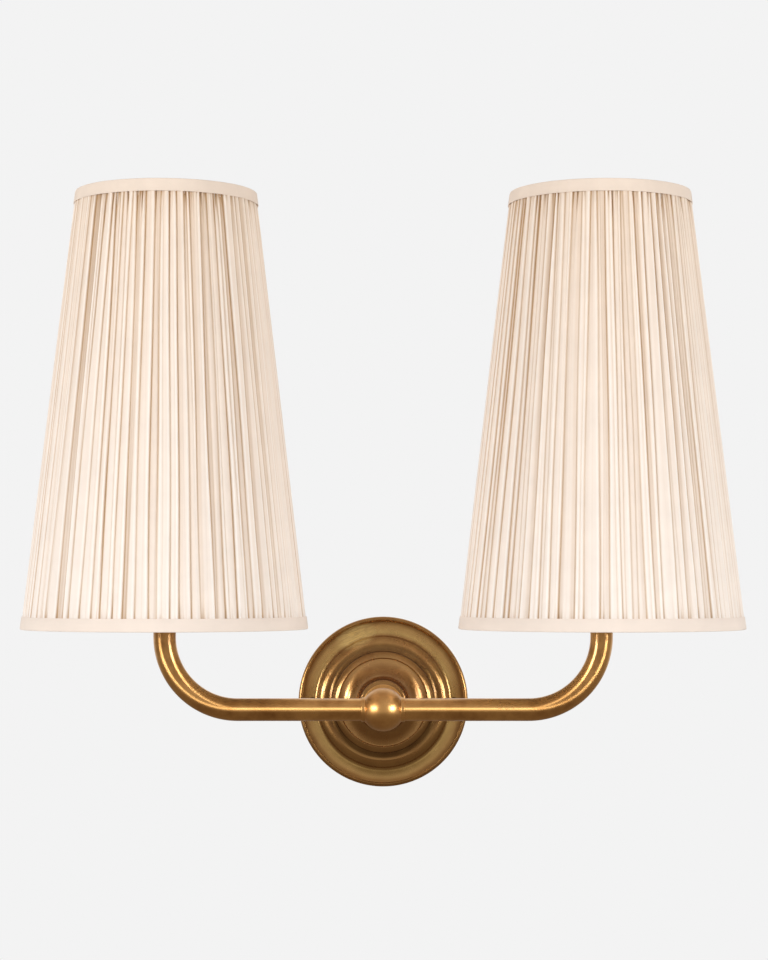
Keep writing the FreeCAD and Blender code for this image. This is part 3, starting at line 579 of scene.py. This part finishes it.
def profile(corners: Sequence[Corner], steps: int = 8) -> list[tuple[float, float]]:
    """Round a profile's corners out into points.

    Args:
        corners: (radius, height, bulge of the edge that leaves the corner), in millimetres.
        steps: Points on each arc.

    Returns:
        (radius, height) points in metres.
    """
    points = [(corners[0][0] * MM, corners[0][1] * MM)]
    for start, stop in zip(corners, corners[1:]):
        points += arc((start[0] * MM, start[1] * MM), (stop[0] * MM, stop[1] * MM), start[2],
                      steps)
    return points


def lathe(name: str, points: Sequence[tuple[float, float]], facets: int,
          facing: Facing = Facing.UP, place: Sequence[float] = (0, 0, 0),
          closed: bool = False) -> Object:
    """Turn a piece ring by ring: a circle, extruded and resized along its profile.

    Args:
        name: The piece's name.
        points: (radius, height) points from one end to the other, in metres.
        facets: Facets round the piece.
        facing: Where its axis points.
        place: Where the foot of its axis stands.
        closed: Whether the last point joins the first one.

    Returns:
        The piece, with its place in its mesh.
    """
    deselect()
    bpy.ops.mesh.primitive_circle_add(vertices=facets, radius=points[0][0],
                                      location=(0, 0, points[0][1]))
    piece = bpy.context.object
    piece.name = name
    edit_all()
    for before, after in zip(points, points[1:]):
        bpy.ops.mesh.extrude_edges_move(
            TRANSFORM_OT_translate={"value": (0, 0, after[1] - before[1])})
        if after[0] < 1e-7:
            bpy.ops.mesh.merge(type="CENTER")
            break
        share = after[0] / before[0]
        bpy.ops.transform.resize(value=(share, share, 1), center_override=(0, 0, after[1]))
    if closed:
        bpy.ops.mesh.select_all(action="SELECT")
        bpy.ops.mesh.remove_doubles(threshold=1e-7)
    leave_edit()
    bpy.ops.object.transform_apply()
    piece.rotation_euler = facing.value
    piece.location = place
    bpy.ops.object.transform_apply()
    return piece


def smooth(piece: Object, degrees: float = 35.0) -> None:
    """Shade a piece smoothly, but keep its edges."""
    pick(piece)
    bpy.ops.object.shade_smooth_by_angle(angle=math.radians(degrees))


def bevel(piece: Object, width: float, segments: int = 2, degrees: float = 35.0) -> None:
    """Break a piece's sharp edges.

    Args:
        piece: The piece.
        width: Width of the bevel, in metres.
        segments: Its facets.
        degrees: Edges sharper than this are broken.
    """
    modify(piece, "BEVEL", width=width, segments=segments, limit_method="ANGLE",
           angle_limit=math.radians(degrees))


def dress(piece: Object, body: str, slot: str, material: Material, *nodes: str) -> Object:
    """Give a piece its material and body, and let it stand for its CAD nodes.

    Args:
        piece: The piece.
        body: The body that it rides on.
        slot: The record's material slot; not used.
        material: Its finish.
        *nodes: The nodes that it replaces.

    Returns:
        The piece.
    """
    piece.data.materials.clear()
    piece.data.materials.append(material)
    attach(piece, body)
    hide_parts(*nodes)
    log.info("%s: %d faces, stands for %s", piece.name, len(piece.data.polygons), ", ".join(nodes))
    return piece


def smooth_copy(node: str, body: str, slot: str, material: Material,
                edge_mm: float = 0.0) -> Object:
    """Copy a CAD node, join its loose triangles, break its edges and shade it smoothly.

    Args:
        node: The node.
        body: The body that it rides on.
        slot: The record's material slot.
        material: Its finish.
        edge_mm: Width of the bevel on its edges, or 0 for none.

    Returns:
        The copy.
    """
    pick(frame["nodes"][node])
    bpy.ops.object.duplicate()
    piece = bpy.context.object
    piece.name = node + "_finished"
    for key in [name for name in piece.keys() if name.startswith("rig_")]:
        del piece[key]
    piece.parent = None
    edit_all()
    bpy.ops.mesh.remove_doubles(threshold=2e-6)
    bpy.ops.mesh.tris_convert_to_quads(face_threshold=0.02, shape_threshold=0.7)
    bpy.ops.object.mode_set(mode="OBJECT")
    if edge_mm:
        bevel(piece, edge_mm * MM)
    smooth(piece)
    return dress(piece, body, slot, material, node)


# ---------------------------------------------------------------- plate, stem and ball
@dataclass
class WallPlate:
    """The spun plate with its rings, its two screws, the stem and the ball."""

    plate_brass: Material
    brass: Material
    screw_brass: Material
    facets: int = 160
    hub_height: float = 28.0
    boss_reach: float = 11.6
    screw_place: float = 42.0
    corners: list[Corner] = field(default_factory=lambda: [
        (49.3, 0.0, 0.0), (50.5, 0.0, 0.0), (50.5, 2.6, QUARTER), (48.6, 4.6, 0.0),
        (47.7, 4.2, -0.03), (41.2, 4.6, -0.16), (38.7, 6.3, 0.08), (34.3, 8.6, -0.12),
        (30.2, 9.8, 0.1), (29.5, 11.4, 0.06), (26.3, 13.2, 0.0), (25.8, 12.7, -QUARTER),
        (13.8, 27.1, 0.12), (12.9, 28.0, 0.0), (PIPE_HOLE, 28.0, 0.0), (PIPE_HOLE, 26.8, 0.0),
        (12.0, 26.8, QUARTER), (24.6, 11.5, 0.0), (29.0, 8.6, 0.0), (34.3, 7.4, 0.0),
        (37.6, 4.8, 0.0), (41.5, 3.4, 0.0), (47.7, 3.0, 0.0), (49.3, 1.4, 0.0),
        (49.3, 0.0, 0.0)])

    def build(self) -> None:
        """Model every piece in the middle of the light."""
        self.build_plate()
        self.build_stem()
        self.build_ball()
        self.build_screws()

    def build_plate(self) -> None:
        """Spin the plate, and soften its crisp edges as polishing does."""
        plate = lathe("spun_backplate", profile(self.corners, 10), self.facets, Facing.ROOM,
                      closed=True)
        bevel(plate, 0.25 * MM, 3, 28.0)
        smooth(plate, 40.0)
        dress(plate, "fixture", "antique_brass", self.plate_brass, "backplate")

    def build_stem(self) -> None:
        """Turn the hollow stem with its foot ring and cove."""
        length = PROJECTION - self.boss_reach - self.hub_height
        corners = [(PIPE_HOLE, 0.0, 0.0), (11.4, 0.0, 0.0), (11.4, 1.4, 0.0), (10.2, 1.4, 0.0),
                   (10.2, 2.8, -QUARTER), (8.0, 6.2, 0.0), (8.0, length, 0.0),
                   (PIPE_HOLE, length, 0.0), (PIPE_HOLE, 0.0, 0.0)]
        stem = lathe("turned_stem", profile(corners), 96, Facing.ROOM,
                     (0, -self.hub_height * MM, 0), closed=True)
        bevel(stem, 0.2 * MM, 3)
        smooth(stem)
        dress(stem, "fixture", "antique_brass", self.brass, "stem")

    def build_ball(self) -> None:
        """Turn the ball with a raised collar at each tube, and its boss at the back."""
        ball, collar, end, seat = 12.2, 6.9, 12.1, 5.1
        reach = end - math.sqrt(ball ** 2 - collar ** 2)
        bulge = (ball - collar) / (2 * end - 2 * reach)
        corners = [(TUBE_HOLE, 0.0, 0.0), (collar, 0.0, 0.0), (collar, reach, bulge),
                   (collar, 2 * end - reach, 0.0), (collar, 2 * end, 0.0),
                   (TUBE_HOLE, 2 * end, 0.0), (TUBE_HOLE, 2 * end - seat, 0.0),
                   (TUBE_HOLE, seat, 0.0), (TUBE_HOLE, 0.0, 0.0)]
        piece = lathe("turned_ball", profile(corners, 40), 96, Facing.RIGHT,
                      (-end * MM, -PROJECTION * MM, 0), closed=True)
        bevel(piece, 0.22 * MM, 3, 30.0)
        radius, depth = 8.3, 4.0
        corners = [(PIPE_HOLE, 0.0, 0.0), (radius, 0.0, 0.0), (radius, depth, 0.0),
                   (PIPE_HOLE, depth, 0.0), (PIPE_HOLE, 0.0, 0.0)]
        boss = lathe("ball_boss", profile(corners), 72, Facing.ROOM,
                     (0, (self.boss_reach - PROJECTION) * MM, 0), closed=True)
        smooth(join(piece, boss), 30.0)
        dress(piece, "fixture", "antique_brass", self.brass, "centre_ball")

    def build_screws(self) -> None:
        """Turn the two raised slotted screws of the plate."""
        corners = [(1.5, 0.0, 0.0), (1.5, 3.4, 0.0), (2.6, 4.55, 0.0), (2.7, 4.65, 0.12),
                   (0.0, 5.4, 0.0)]
        length, depth, width = 8.0, 1.3, 0.7  # of the block that cuts a slot
        heads = []
        for x in (-self.screw_place * MM, self.screw_place * MM):
            head = lathe("screw_head", profile(corners, 6), 40, Facing.ROOM, (x, -0.2 * MM, 0))
            bpy.ops.mesh.primitive_cube_add(size=1, location=(x, -5.55 * MM, 0))
            cutter = bpy.context.object
            cutter.scale = (length * MM, depth * MM, width * MM)
            bpy.ops.object.transform_apply(location=False, rotation=False, scale=True)
            modify(head, "BOOLEAN", object=cutter, operation="DIFFERENCE", solver="EXACT")
            bpy.data.objects.remove(cutter)
            heads.append(head)
        pair = join(*heads)
        pair.name = "slotted_plate_screws"
        smooth(pair, 30.0)
        dress(pair, "fixture", "brass_screws", self.screw_brass, "plate_screws")


@dataclass
class Arm:
    """One bent tube: level run, bend and rise."""

    side: Side
    brass: Material
    reach: float
    radius: float = 6.35
    start: float = 7.0
    top: float = 72.0
    bend: float = 41.0
    bend_steps: int = 40
    facets: int = 64
    map_unit: float = 100.0

    def build(self) -> None:
        """Extrude the tube's circle out of the ball, round the bend and up."""
        deselect()
        sign = self.side.value
        bpy.ops.mesh.primitive_circle_add(
            vertices=self.facets, radius=self.radius * MM, fill_type="NGON",
            location=(sign * self.start * MM, -PROJECTION * MM, 0),
            rotation=(0, math.pi / 2, 0))
        tube = bpy.context.object
        tube.name = self.side.word + "_bent_tube"
        bpy.ops.object.transform_apply()
        edit_all()
        run = self.reach - self.bend - self.start
        self.extrude((sign * run * MM, 0, 0), 6)
        centre = (sign * (self.reach - self.bend) * MM, -PROJECTION * MM, self.bend * MM)
        angle = sign * math.pi / 2 / self.bend_steps
        for _ in range(self.bend_steps):
            bpy.ops.mesh.extrude_region_move(TRANSFORM_OT_translate={"value": (0, 0, 0)})
            bpy.ops.transform.rotate(value=angle, orient_axis="Y", center_override=centre)
        self.extrude((0, 0, (self.top - self.bend) * MM), 3)
        leave_edit()
        smooth(tube, 40.0)
        self.map_length(tube)
        dress(tube, "fixture", "antique_brass", self.brass, self.side.word + "_arm_tube")

    def map_length(self, tube: Object) -> None:
        """Give the tube a map that runs along its middle line and round it."""
        spots = spots_of(tube.data)
        run = (self.reach - self.bend) * MM
        bend = self.bend * MM
        out = np.abs(spots[:, 0]) - run
        up = spots[:, 2] - bend
        turn = np.arctan2(np.clip(out, 0, None), np.clip(-up, 0, None))
        level = out < 0
        rising = (up > 0) & ~level
        length = np.where(level, run + out, np.where(rising, run + bend * math.pi / 2 + up,
                                                     run + bend * turn))
        side = np.where(level, -up, np.where(rising, out, np.hypot(out, up))) - bend
        round_it = np.arctan2(spots[:, 1] + PROJECTION * MM, side) / FULL_TURN
        add_map(tube.data, "tube", length / (self.map_unit * MM), round_it)

    @staticmethod
    def extrude(way: tuple[float, float, float], steps: int) -> None:
        """Extrude what is selected in equal steps along a way."""
        share = tuple(c / steps for c in way)
        for _ in range(steps):
            bpy.ops.mesh.extrude_region_move(TRANSFORM_OT_translate={"value": share})


# ---------------------------------------------------------------- shade
@dataclass
class Shade:
    """One shade: gathered cover, folded trims, and the frame inside."""

    side: Side
    cover_cloth: Material
    tape_cloth: Material
    lining: Material
    wire: Material
    bottom: float = 45.0
    height: float = 246.0
    low_radius: float = 80.5
    high_radius: float = 51.3
    low_inside: float = 71.9
    high_inside: float = 44.0
    trim: float = 7.0
    under_trim: float = 0.55
    edge_gap: float = 0.6
    columns: int = 1500
    rows: int = 60
    folds: int = 78
    main_depth: float = 1.2
    plain_tone: float = 0.3
    seed: int = 7

    @property
    def axis(self) -> tuple[float, float]:
        """Give X and Y of the shade's axis, in metres."""
        low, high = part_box(self.node("lining"))
        return ((low.x + high.x) / 2, (low.y + high.y) / 2)

    def node(self, word: str) -> str:
        """Give a node's full name."""
        return "%s_shade_%s" % (self.side.word, word)

    @property
    def body(self) -> str:
        """Give the body that the shade turns with."""
        return self.side.word + "_shade"

    def build(self) -> None:
        """Model the shade's pieces."""
        cover = self.build_cover()
        trims = [self.build_trim("lower"), self.build_trim("upper")]
        smooth_copy(self.node("lining"), self.body, "stiff_lining", self.lining)
        for word in ("lower_ring", "upper_ring", "carrier"):
            smooth_copy(self.node(word), self.body, "shade_wire", self.wire)

    @staticmethod
    def wrapped(angles: np.ndarray) -> np.ndarray:
        """Bring angles to the turn from half a turn back to half a turn ahead."""
        return (angles + math.pi) % FULL_TURN - math.pi

    def place_round(self, spots: np.ndarray, radius: np.ndarray, angle: np.ndarray) -> None:
        """Move points to their radius and angle round the shade's axis."""
        x, y = self.axis
        spots[:, 0] = x + radius * np.cos(angle)
        spots[:, 1] = y + radius * np.sin(angle)

    def folds_of(self, share: np.ndarray, angles: np.ndarray) -> tuple[np.ndarray, np.ndarray]:
        """Work out how deep the cloth lies at each place, and how dark it looks there.

        Every fold is a thin valley with a steep and a gentle side.  Its valley line is painted
        dark as shade, darker still near the trims; the crest on its steep side is painted bright
        as a highlight, and the gentle side mostly gets a little painted shade.  A fold's place
        wanders a little on the way up.  Small gathers fan out below the upper trim, and puckers
        stand on the lower one; both are painted darker as shade.

        Args:
            share: Height of each row, 0 at the bottom and 1 at the top.
            angles: Angle of each column.

        Returns:
            Depths in millimetres, and the painted highlight and shade, from 0 for the brightest
            crest to 1 for the darkest valley, both by row and column.
        """
        rng = np.random.default_rng(self.seed)
        depth = np.zeros((len(share), len(angles)))
        tone = np.full_like(depth, self.plain_tone)
        radius = (self.low_radius + (self.high_radius - self.low_radius) * share)[:, None]
        above = np.clip(share * self.height - self.trim, 0, None)[:, None]
        below = np.clip((1 - share) * self.height - self.trim, 0, None)[:, None]
        shade_near_trims = 1 + 0.45 * np.exp(-above / 6) + 0.3 * np.exp(-below / 16)
        spacing = FULL_TURN / self.folds
        drift = rng.normal(0, 0.16, self.folds)
        for index in range(2 * self.folds):  # a small fold stands after each main one
            main = index % 2 == 0
            start = (index // 2 + drift[index // 2]) * spacing
            if not main:
                start += rng.uniform(0.3, 0.7) * spacing
            strength = rng.uniform(0.6, 1.0) if main else rng.uniform(0.05, 0.6) ** 1.2
            line = rng.uniform(0.42, 0.62) if main else rng.uniform(0.3, 0.45)
            flip = -1 if rng.random() < 0.22 else 1
            gentle_side_shade = rng.uniform(-0.1, 0.42)
            phases = rng.uniform(0, FULL_TURN, 3)
            wander = spacing * (0.09 * np.sin(2.6 * share + phases[0])
                                + 0.035 * np.sin(9.0 * share + phases[1])
                                + rng.normal(0, 0.16) * share ** 3)
            ease = 0.84 + 0.16 * np.sin(5.0 * share + phases[2])
            gap = self.wrapped(angles[None, :] - start - wander[:, None])
            along = flip * gap * radius * self.low_radius / (0.35 * radius
                                                             + 0.65 * self.low_radius)
            side = np.where(along < 0, 0.55, 1.4 if main else 0.8)
            depth += strength * ease[:, None] * np.exp(-np.abs(along / side) ** 1.5)
            # Painted shade in the valley; a main fold adds crest highlight and gentle-side shade.
            shade = 0.8 * shade_near_trims * np.exp(-(along / line) ** 2)
            if main:
                shade = shade - 0.34 * np.exp(-((along + 1.25) / 0.65) ** 2) \
                    + gentle_side_shade * np.exp(-((along - 1.5) / 1.1) ** 2)
            tone += strength * ease[:, None] * shade
        depth *= self.main_depth
        gathers = [(230, below, 0.9, 8.0, 0.55), (170, above, 0.5, 5.0, 0.6)]
        for count, distance, amount, fade, width in gathers:  # all but the count in millimetres
            for place in np.sort(rng.uniform(0, FULL_TURN, count)):
                size = amount * rng.uniform(0.25, 1.0)
                length = fade * rng.uniform(0.5, 1.7)
                lean = rng.normal(0, 0.02)
                gap = self.wrapped(angles[None, :] - place - lean * distance / 30)
                spread = width * (0.5 + 0.5 * np.exp(-distance / length))
                dent = size * np.exp(-(gap * radius / spread) ** 2) * np.exp(-distance / length)
                depth += dent
                # Painted shade in the gather.
                tone += 0.5 * dent
        limit = 2.3 - 0.75 * np.exp(-below / 9)  # the lining is nearer under the upper trim
        return np.clip(depth, 0, limit), np.clip(tone, 0, 1)

    def build_cover(self) -> Object:
        """Roll a grid into the gathered cover and press its folds in."""
        deselect()
        bpy.ops.mesh.primitive_grid_add(x_subdivisions=self.columns, y_subdivisions=self.rows,
                                        size=1, calc_uvs=True)
        cover = bpy.context.object
        cover.name = self.side.word + "_gathered_cover"
        mesh = cover.data
        mesh.uv_layers[0].name = "cloth"
        spots = spots_of(mesh) + (0.5, 0.5, 0)
        column = np.rint(spots[:, 0] * self.columns).astype(int)
        row = np.rint(spots[:, 1] * self.rows).astype(int)
        edge = self.edge_gap / self.height
        levels = np.linspace(0, 1, self.rows + 1)
        crowd = 0.5 - 0.5 * np.cos(np.pi * levels)
        share = edge + (1 - 2 * edge) * (0.55 * levels + 0.45 * crowd)
        angles = np.arange(self.columns) / self.columns * FULL_TURN
        depth, tone = self.folds_of(share, angles)
        column %= self.columns
        rise = share[row]
        crest = self.low_radius + (self.high_radius - self.low_radius) * rise - self.under_trim
        self.place_round(spots, (crest - depth[row, column]) * MM, angles[column])
        spots[:, 2] = (self.bottom + rise * self.height) * MM
        mesh.vertices.foreach_set("co", spots.ravel())
        # The fold attribute holds the painted highlight and shade of the folds.
        mark = mesh.attributes.new("fold", "FLOAT", "POINT")
        mark.data.foreach_set("value", tone[row, column].astype(np.float32))
        mesh.update()
        edit_all()
        bpy.ops.mesh.remove_doubles(threshold=1e-7)
        bpy.ops.object.mode_set(mode="OBJECT")
        bpy.ops.object.shade_smooth()
        return dress(cover, self.body, "pleated_cloth", self.cover_cloth, self.node("cover"))

    def build_trim(self, word: str) -> Object:
        """Fold a smooth tape over one edge of the shade.

        Args:
            word: "lower" or "upper".

        Returns:
            The tape.
        """
        lean = (self.low_radius - self.high_radius) / self.height * self.trim
        if word == "lower":
            inside, outer, up = self.low_inside, self.low_radius, self.bottom
            corners = [(inside, 2.9, 0.0), (inside, 0.5, QUARTER), (inside + 0.5, 0.0, 0.0),
                       (outer - 0.7, 0.0, QUARTER), (outer, 0.7, 0.0),
                       (outer - lean, self.trim, 0.3), (outer - lean - 0.5, self.trim, 0.0),
                       (outer - 0.6, 0.7, 0.0), (inside + 0.5, 0.6, 0.0),
                       (inside + 0.5, 2.9, 0.0), (inside, 2.9, 0.0)]
        else:
            inside, outer = self.high_inside, self.high_radius
            up = self.bottom + self.height - self.trim
            corners = [(inside + 0.5, 2.0, 0.0), (inside + 0.5, self.trim - 0.6, 0.0),
                       (outer - 0.6, self.trim - 0.7, 0.0), (outer + lean - 0.5, 0.0, 0.3),
                       (outer + lean, 0.0, 0.0), (outer, self.trim - 0.7, QUARTER),
                       (outer - 0.7, self.trim, 0.0), (inside + 0.5, self.trim, QUARTER),
                       (inside, self.trim - 0.5, 0.0), (inside, 2.0, 0.0),
                       (inside + 0.5, 2.0, 0.0)]
        x, y = self.axis
        tape = lathe("%s_%s_trim_tape" % (self.side.word, word), profile(corners, 5), 300,
                     Facing.UP, (x, y, up * MM), closed=True)
        self.ripple(tape, 0.16 if word == "upper" else 0.12)
        smooth(tape, 60.0)
        return dress(tape, self.body, "trim_tape", self.tape_cloth, self.node(word + "_trim"))

    def ripple(self, tape: Object, amount: float) -> None:
        """Let a tape wave slightly over the gathers behind it, and give it its cloth map."""
        mesh = tape.data
        spots = spots_of(mesh)
        x, y = self.axis
        angle = np.arctan2(spots[:, 1] - y, spots[:, 0] - x)
        radius = np.hypot(spots[:, 0] - x, spots[:, 1] - y)
        wave = sum(np.sin(k * angle + p) * s for k, p, s in (
            (3, 0.4, 0.5), (11, 1.3, 0.35), (23, 2.2, 0.3), (37, 0.9, 0.3), (61, 4.0, 0.25)))
        outer = radius > radius.mean()
        radius = radius + np.where(outer, amount * MM * (wave - 1.2), 0.0)
        self.place_round(spots, radius, angle)
        mesh.vertices.foreach_set("co", spots.ravel())
        add_map(mesh, "cloth", angle / FULL_TURN, (spots[:, 2] / MM - self.bottom) / self.height)
        mesh.update()


# ---------------------------------------------------------------- holder, bulb and inner pieces
@dataclass
class InnerPieces:
    """What is inside the shades, the tubes and the plate."""

    finishes: dict[str, Material]
    edge_mm: float = 0.15

    def build(self) -> None:
        """Finish every node that no other class has replaced."""
        slots = {part["node"]: part["material_slot"] for part in frame["record"]["subparts"]}
        bodies = {node: body for body, nodes in frame["record"]["behaviour"]["bodies"].items()
                  for node in nodes}
        for node in sorted(frame["nodes"]):
            if frame["nodes"][node].hide_render:
                continue
            slot = slots[node]
            soft_edges = slot in ("antique_brass", "moulded_holder", "moulded_block")
            smooth_copy(node, bodies[node], slot, self.finishes[slot],
                        self.edge_mm if soft_edges else 0.0)


# ---------------------------------------------------------------- studio
@dataclass
class Studio:
    """Camera, two wide soft boxes, a pale floor and a pale surround, in metres."""

    distance: float = 1.32
    eye_height: float = 0.0752
    pitch_degrees: float = 2.32
    focal_pixels: float = 2350.0
    frame_height: float = 960.0
    backdrop: str = "#f3f3f3"
    floor_in_metal: str = "#7f7160"
    box_width: float = 0.95
    box_height: float = 0.5
    box_distance: float = 2.2
    box_azimuth: float = 51.0
    box_elevation: float = 6.0
    ambient: float = 0.6

    def build(self) -> None:
        """Set the stage."""
        self.add_camera()
        self.add_surround()
        self.add_floor()
        self.add_box("left_soft_box", -self.box_azimuth, 30.0)
        self.add_box("right_soft_box", self.box_azimuth, 27.0)
        bpy.context.scene.view_settings.view_transform = "Standard"

    def add_camera(self) -> None:
        """Stand the camera where the photograph was taken from."""
        bpy.ops.object.camera_add(
            location=(0.5 * MM, -PROJECTION * MM - self.distance, self.eye_height),
            rotation=(math.radians(90 + self.pitch_degrees), 0, 0))
        camera = bpy.context.object
        camera.data.sensor_width = 36.0
        camera.data.lens = self.focal_pixels * camera.data.sensor_width / self.frame_height
        bpy.context.scene.camera = camera

    def add_box(self, name: str, azimuth: float, power: float) -> None:
        """Hang a wide soft box.

        Args:
            name: Its name.
            azimuth: Degrees to the right of the camera, as the wall light would see it.
            power: Watts.
        """
        target = Vector((0, -PROJECTION * MM, 0.1))
        turn, rise = math.radians(azimuth), math.radians(self.box_elevation)
        way = Vector((math.sin(turn) * math.cos(rise), -math.cos(turn) * math.cos(rise),
                      math.sin(rise)))
        bpy.ops.object.light_add(type="AREA", location=target + way * self.box_distance)
        lamp = bpy.context.object
        lamp.name = name
        lamp.data.shape = "RECTANGLE"
        lamp.data.size = self.box_width
        lamp.data.size_y = self.box_height
        lamp.data.energy = power
        lamp.rotation_euler = (-way).to_track_quat("-Z", "Y").to_euler()

    def add_surround(self) -> None:
        """Light from all round, and show metal a pale backdrop behind and a dim room in front."""
        world = bpy.data.worlds.new("studio")
        bpy.context.scene.world = world
        world.use_nodes = True
        tree = world.node_tree
        tree.nodes.clear()
        direction = add_node(tree, "TexCoord").outputs["Generated"]
        parts = add_node(tree, "SeparateXYZ", {0: direction})
        height = add_node(tree, "Math", {0: parts.outputs["Z"]}, operation="ARCSINE")
        rise = add_node(tree, "MapRange", {"Value": height, "From Min": -math.pi / 2,
                                           "From Max": math.pi / 2})
        room = add_node(tree, "ValToRGB", {"Fac": rise}, [
            (0.0, "#776a5a"), (0.139, "#7f7160"), (0.267, "#8b7f71"), (0.383, "#a09788"),
            (0.456, "#b8b0a5"), (0.5, "#beb5aa"), (0.728, "#c2b9b2"), (0.856, "#bcafa5"),
            (1.0, "#b3a298")])
        behind = add_node(tree, "MapRange", {"Value": parts.outputs["Y"], "From Min": 0.12,
                                             "From Max": 0.6}, interpolation_type="SMOOTHSTEP")
        mixed = add_node(tree, "Mix", {0: behind, 6: room, 7: linear(self.backdrop)},
                         data_type="RGBA").outputs[2]
        glossy = add_node(tree, "Background", {"Color": mixed})
        seen = add_node(tree, "Background", {"Color": linear(self.backdrop)})
        soft = add_node(tree, "Background", {"Color": linear("#fffdfa"),
                                             "Strength": self.ambient})
        look = show_by_ray(tree, soft, {"Is Glossy Ray": glossy, "Is Transmission Ray": seen,
                                        "Is Camera Ray": seen})
        add_node(tree, "OutputWorld", {0: look})

    def add_floor(self) -> None:
        """Lay a pale floor far below.

        The camera sees a faint shadow under the light, and the backdrop's colour further out.
        """
        bpy.ops.mesh.primitive_plane_add(size=8, location=(0, 0, -1.1))
        floor = bpy.context.object
        floor.name = "studio_floor"
        material, tree, shader, place = start_material("pale_floor_paint")
        feed(tree, shader, {"Base Color": linear("#e6e4e0"), "Roughness": 0.9})
        glow = add_node(tree, "Emission", {"Color": linear(self.backdrop)})
        dim = add_node(tree, "Emission", {"Color": linear(self.floor_in_metal)})
        spread = add_node(tree, "VectorMath", {0: place}, operation="LENGTH").outputs["Value"]
        fade = add_node(tree, "MapRange", {"Value": spread, "From Min": 0.3, "From Max": 2.6,
                                           "To Min": 0.5, "To Max": 1.0},
                        interpolation_type="SMOOTHSTEP")
        seen = add_node(tree, "MixShader", {0: fade, 1: shader, 2: glow})
        look = show_by_ray(tree, shader, {"Is Glossy Ray": dim, "Is Camera Ray": seen})
        feed(tree, tree.nodes["Material Output"], {"Surface": look})
        floor.data.materials.append(material)


def make_finishes() -> dict[str, Material]:
    """Make one material for each slot of the record.

    Returns:
        Slot name to material.
    """
    finishes = [
        ("antique_brass", AgedBrass("aged_turned_brass")),
        ("plated_steel", PlainMetal("zinc_plated_steel", "#b9b9b4")),
        # Screw heads darker than the brass: partly tarnish, partly painted shade of their
        # countersinks.
        ("brass_screws", AgedBrass("darkened_screw_brass", "#8a6434", "#3c2814", 0.4)),
        ("contact_brass", PlainMetal("bright_pressed_brass", "#d8b56a", 0.3)),
        ("moulded_holder", Moulding("black_thermoset_holder", "#1d1b19", 0.45)),
        ("moulded_block", Moulding("ivory_polyamide_block", "#e8e4d6", 0.5)),
        ("lead_sheath", Moulding("gold_pvc_sheath", "#cdb98c", 0.35)),
        ("bulb_cap_metal", PlainMetal("drawn_aluminium_cap", "#d0d0cf", 0.25)),
        ("opal_glass", FrostedGlass()),
        # Crest, plain and valley colours: painted highlight on crests, painted shade in valleys.
        ("pleated_cloth", Cloth("gathered_cotton_voile", ("#fdf8f4", "#f6ebe2", "#c6a583"),
                                ("#f9eee3", "#ecd9c7", "#b8936a"))),
        ("trim_tape", Cloth("cotton_tape", ("#f0e3d8",) * 3, ("#ecdccd",) * 3)),
        ("stiff_lining", Moulding("laminated_white_lining", "#faf7f0", 0.6, 0.9, 0.65)),
        ("shade_wire", Moulding("white_powder_coated_wire", "#e9e5dc", 0.4)),
    ]
    return {slot: finish.build() for slot, finish in finishes}


def main() -> None:
    """Build the light, piece by piece, and its studio."""
    logging.basicConfig(level=logging.INFO, format="%(message)s")
    finishes = make_finishes()
    plate_brass = SpunPlateBrass(
        "aged_spun_brass", "#dab06c", "#8f5f2f", roughness=0.22, tarnish=0.7,
        grain=Grain.ROUND_PLATE, brushing=0.6, rubbing=0.03).build()
    tube_brass = AgedBrass("aged_drawn_brass", tarnish=0.3, grain=Grain.ALONG_TUBE, brushing=0.95,
                           rubbing=0.015).build()
    WallPlate(plate_brass, finishes["antique_brass"], finishes["brass_screws"]).build()
    for side, seed in ((Side.LEFT, 7), (Side.RIGHT, 23)):
        low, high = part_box(side.word + "_bulb_glass")
        reach = abs(low.x + high.x) / 2 / MM
        Arm(side, tube_brass, round(reach, 2)).build()
        Shade(side, finishes["pleated_cloth"], finishes["trim_tape"], finishes["stiff_lining"],
              finishes["shade_wire"], seed=seed).build()
    InnerPieces(finishes).build()
    Studio().build()
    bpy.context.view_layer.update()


if __name__ == "__main__":
    main()
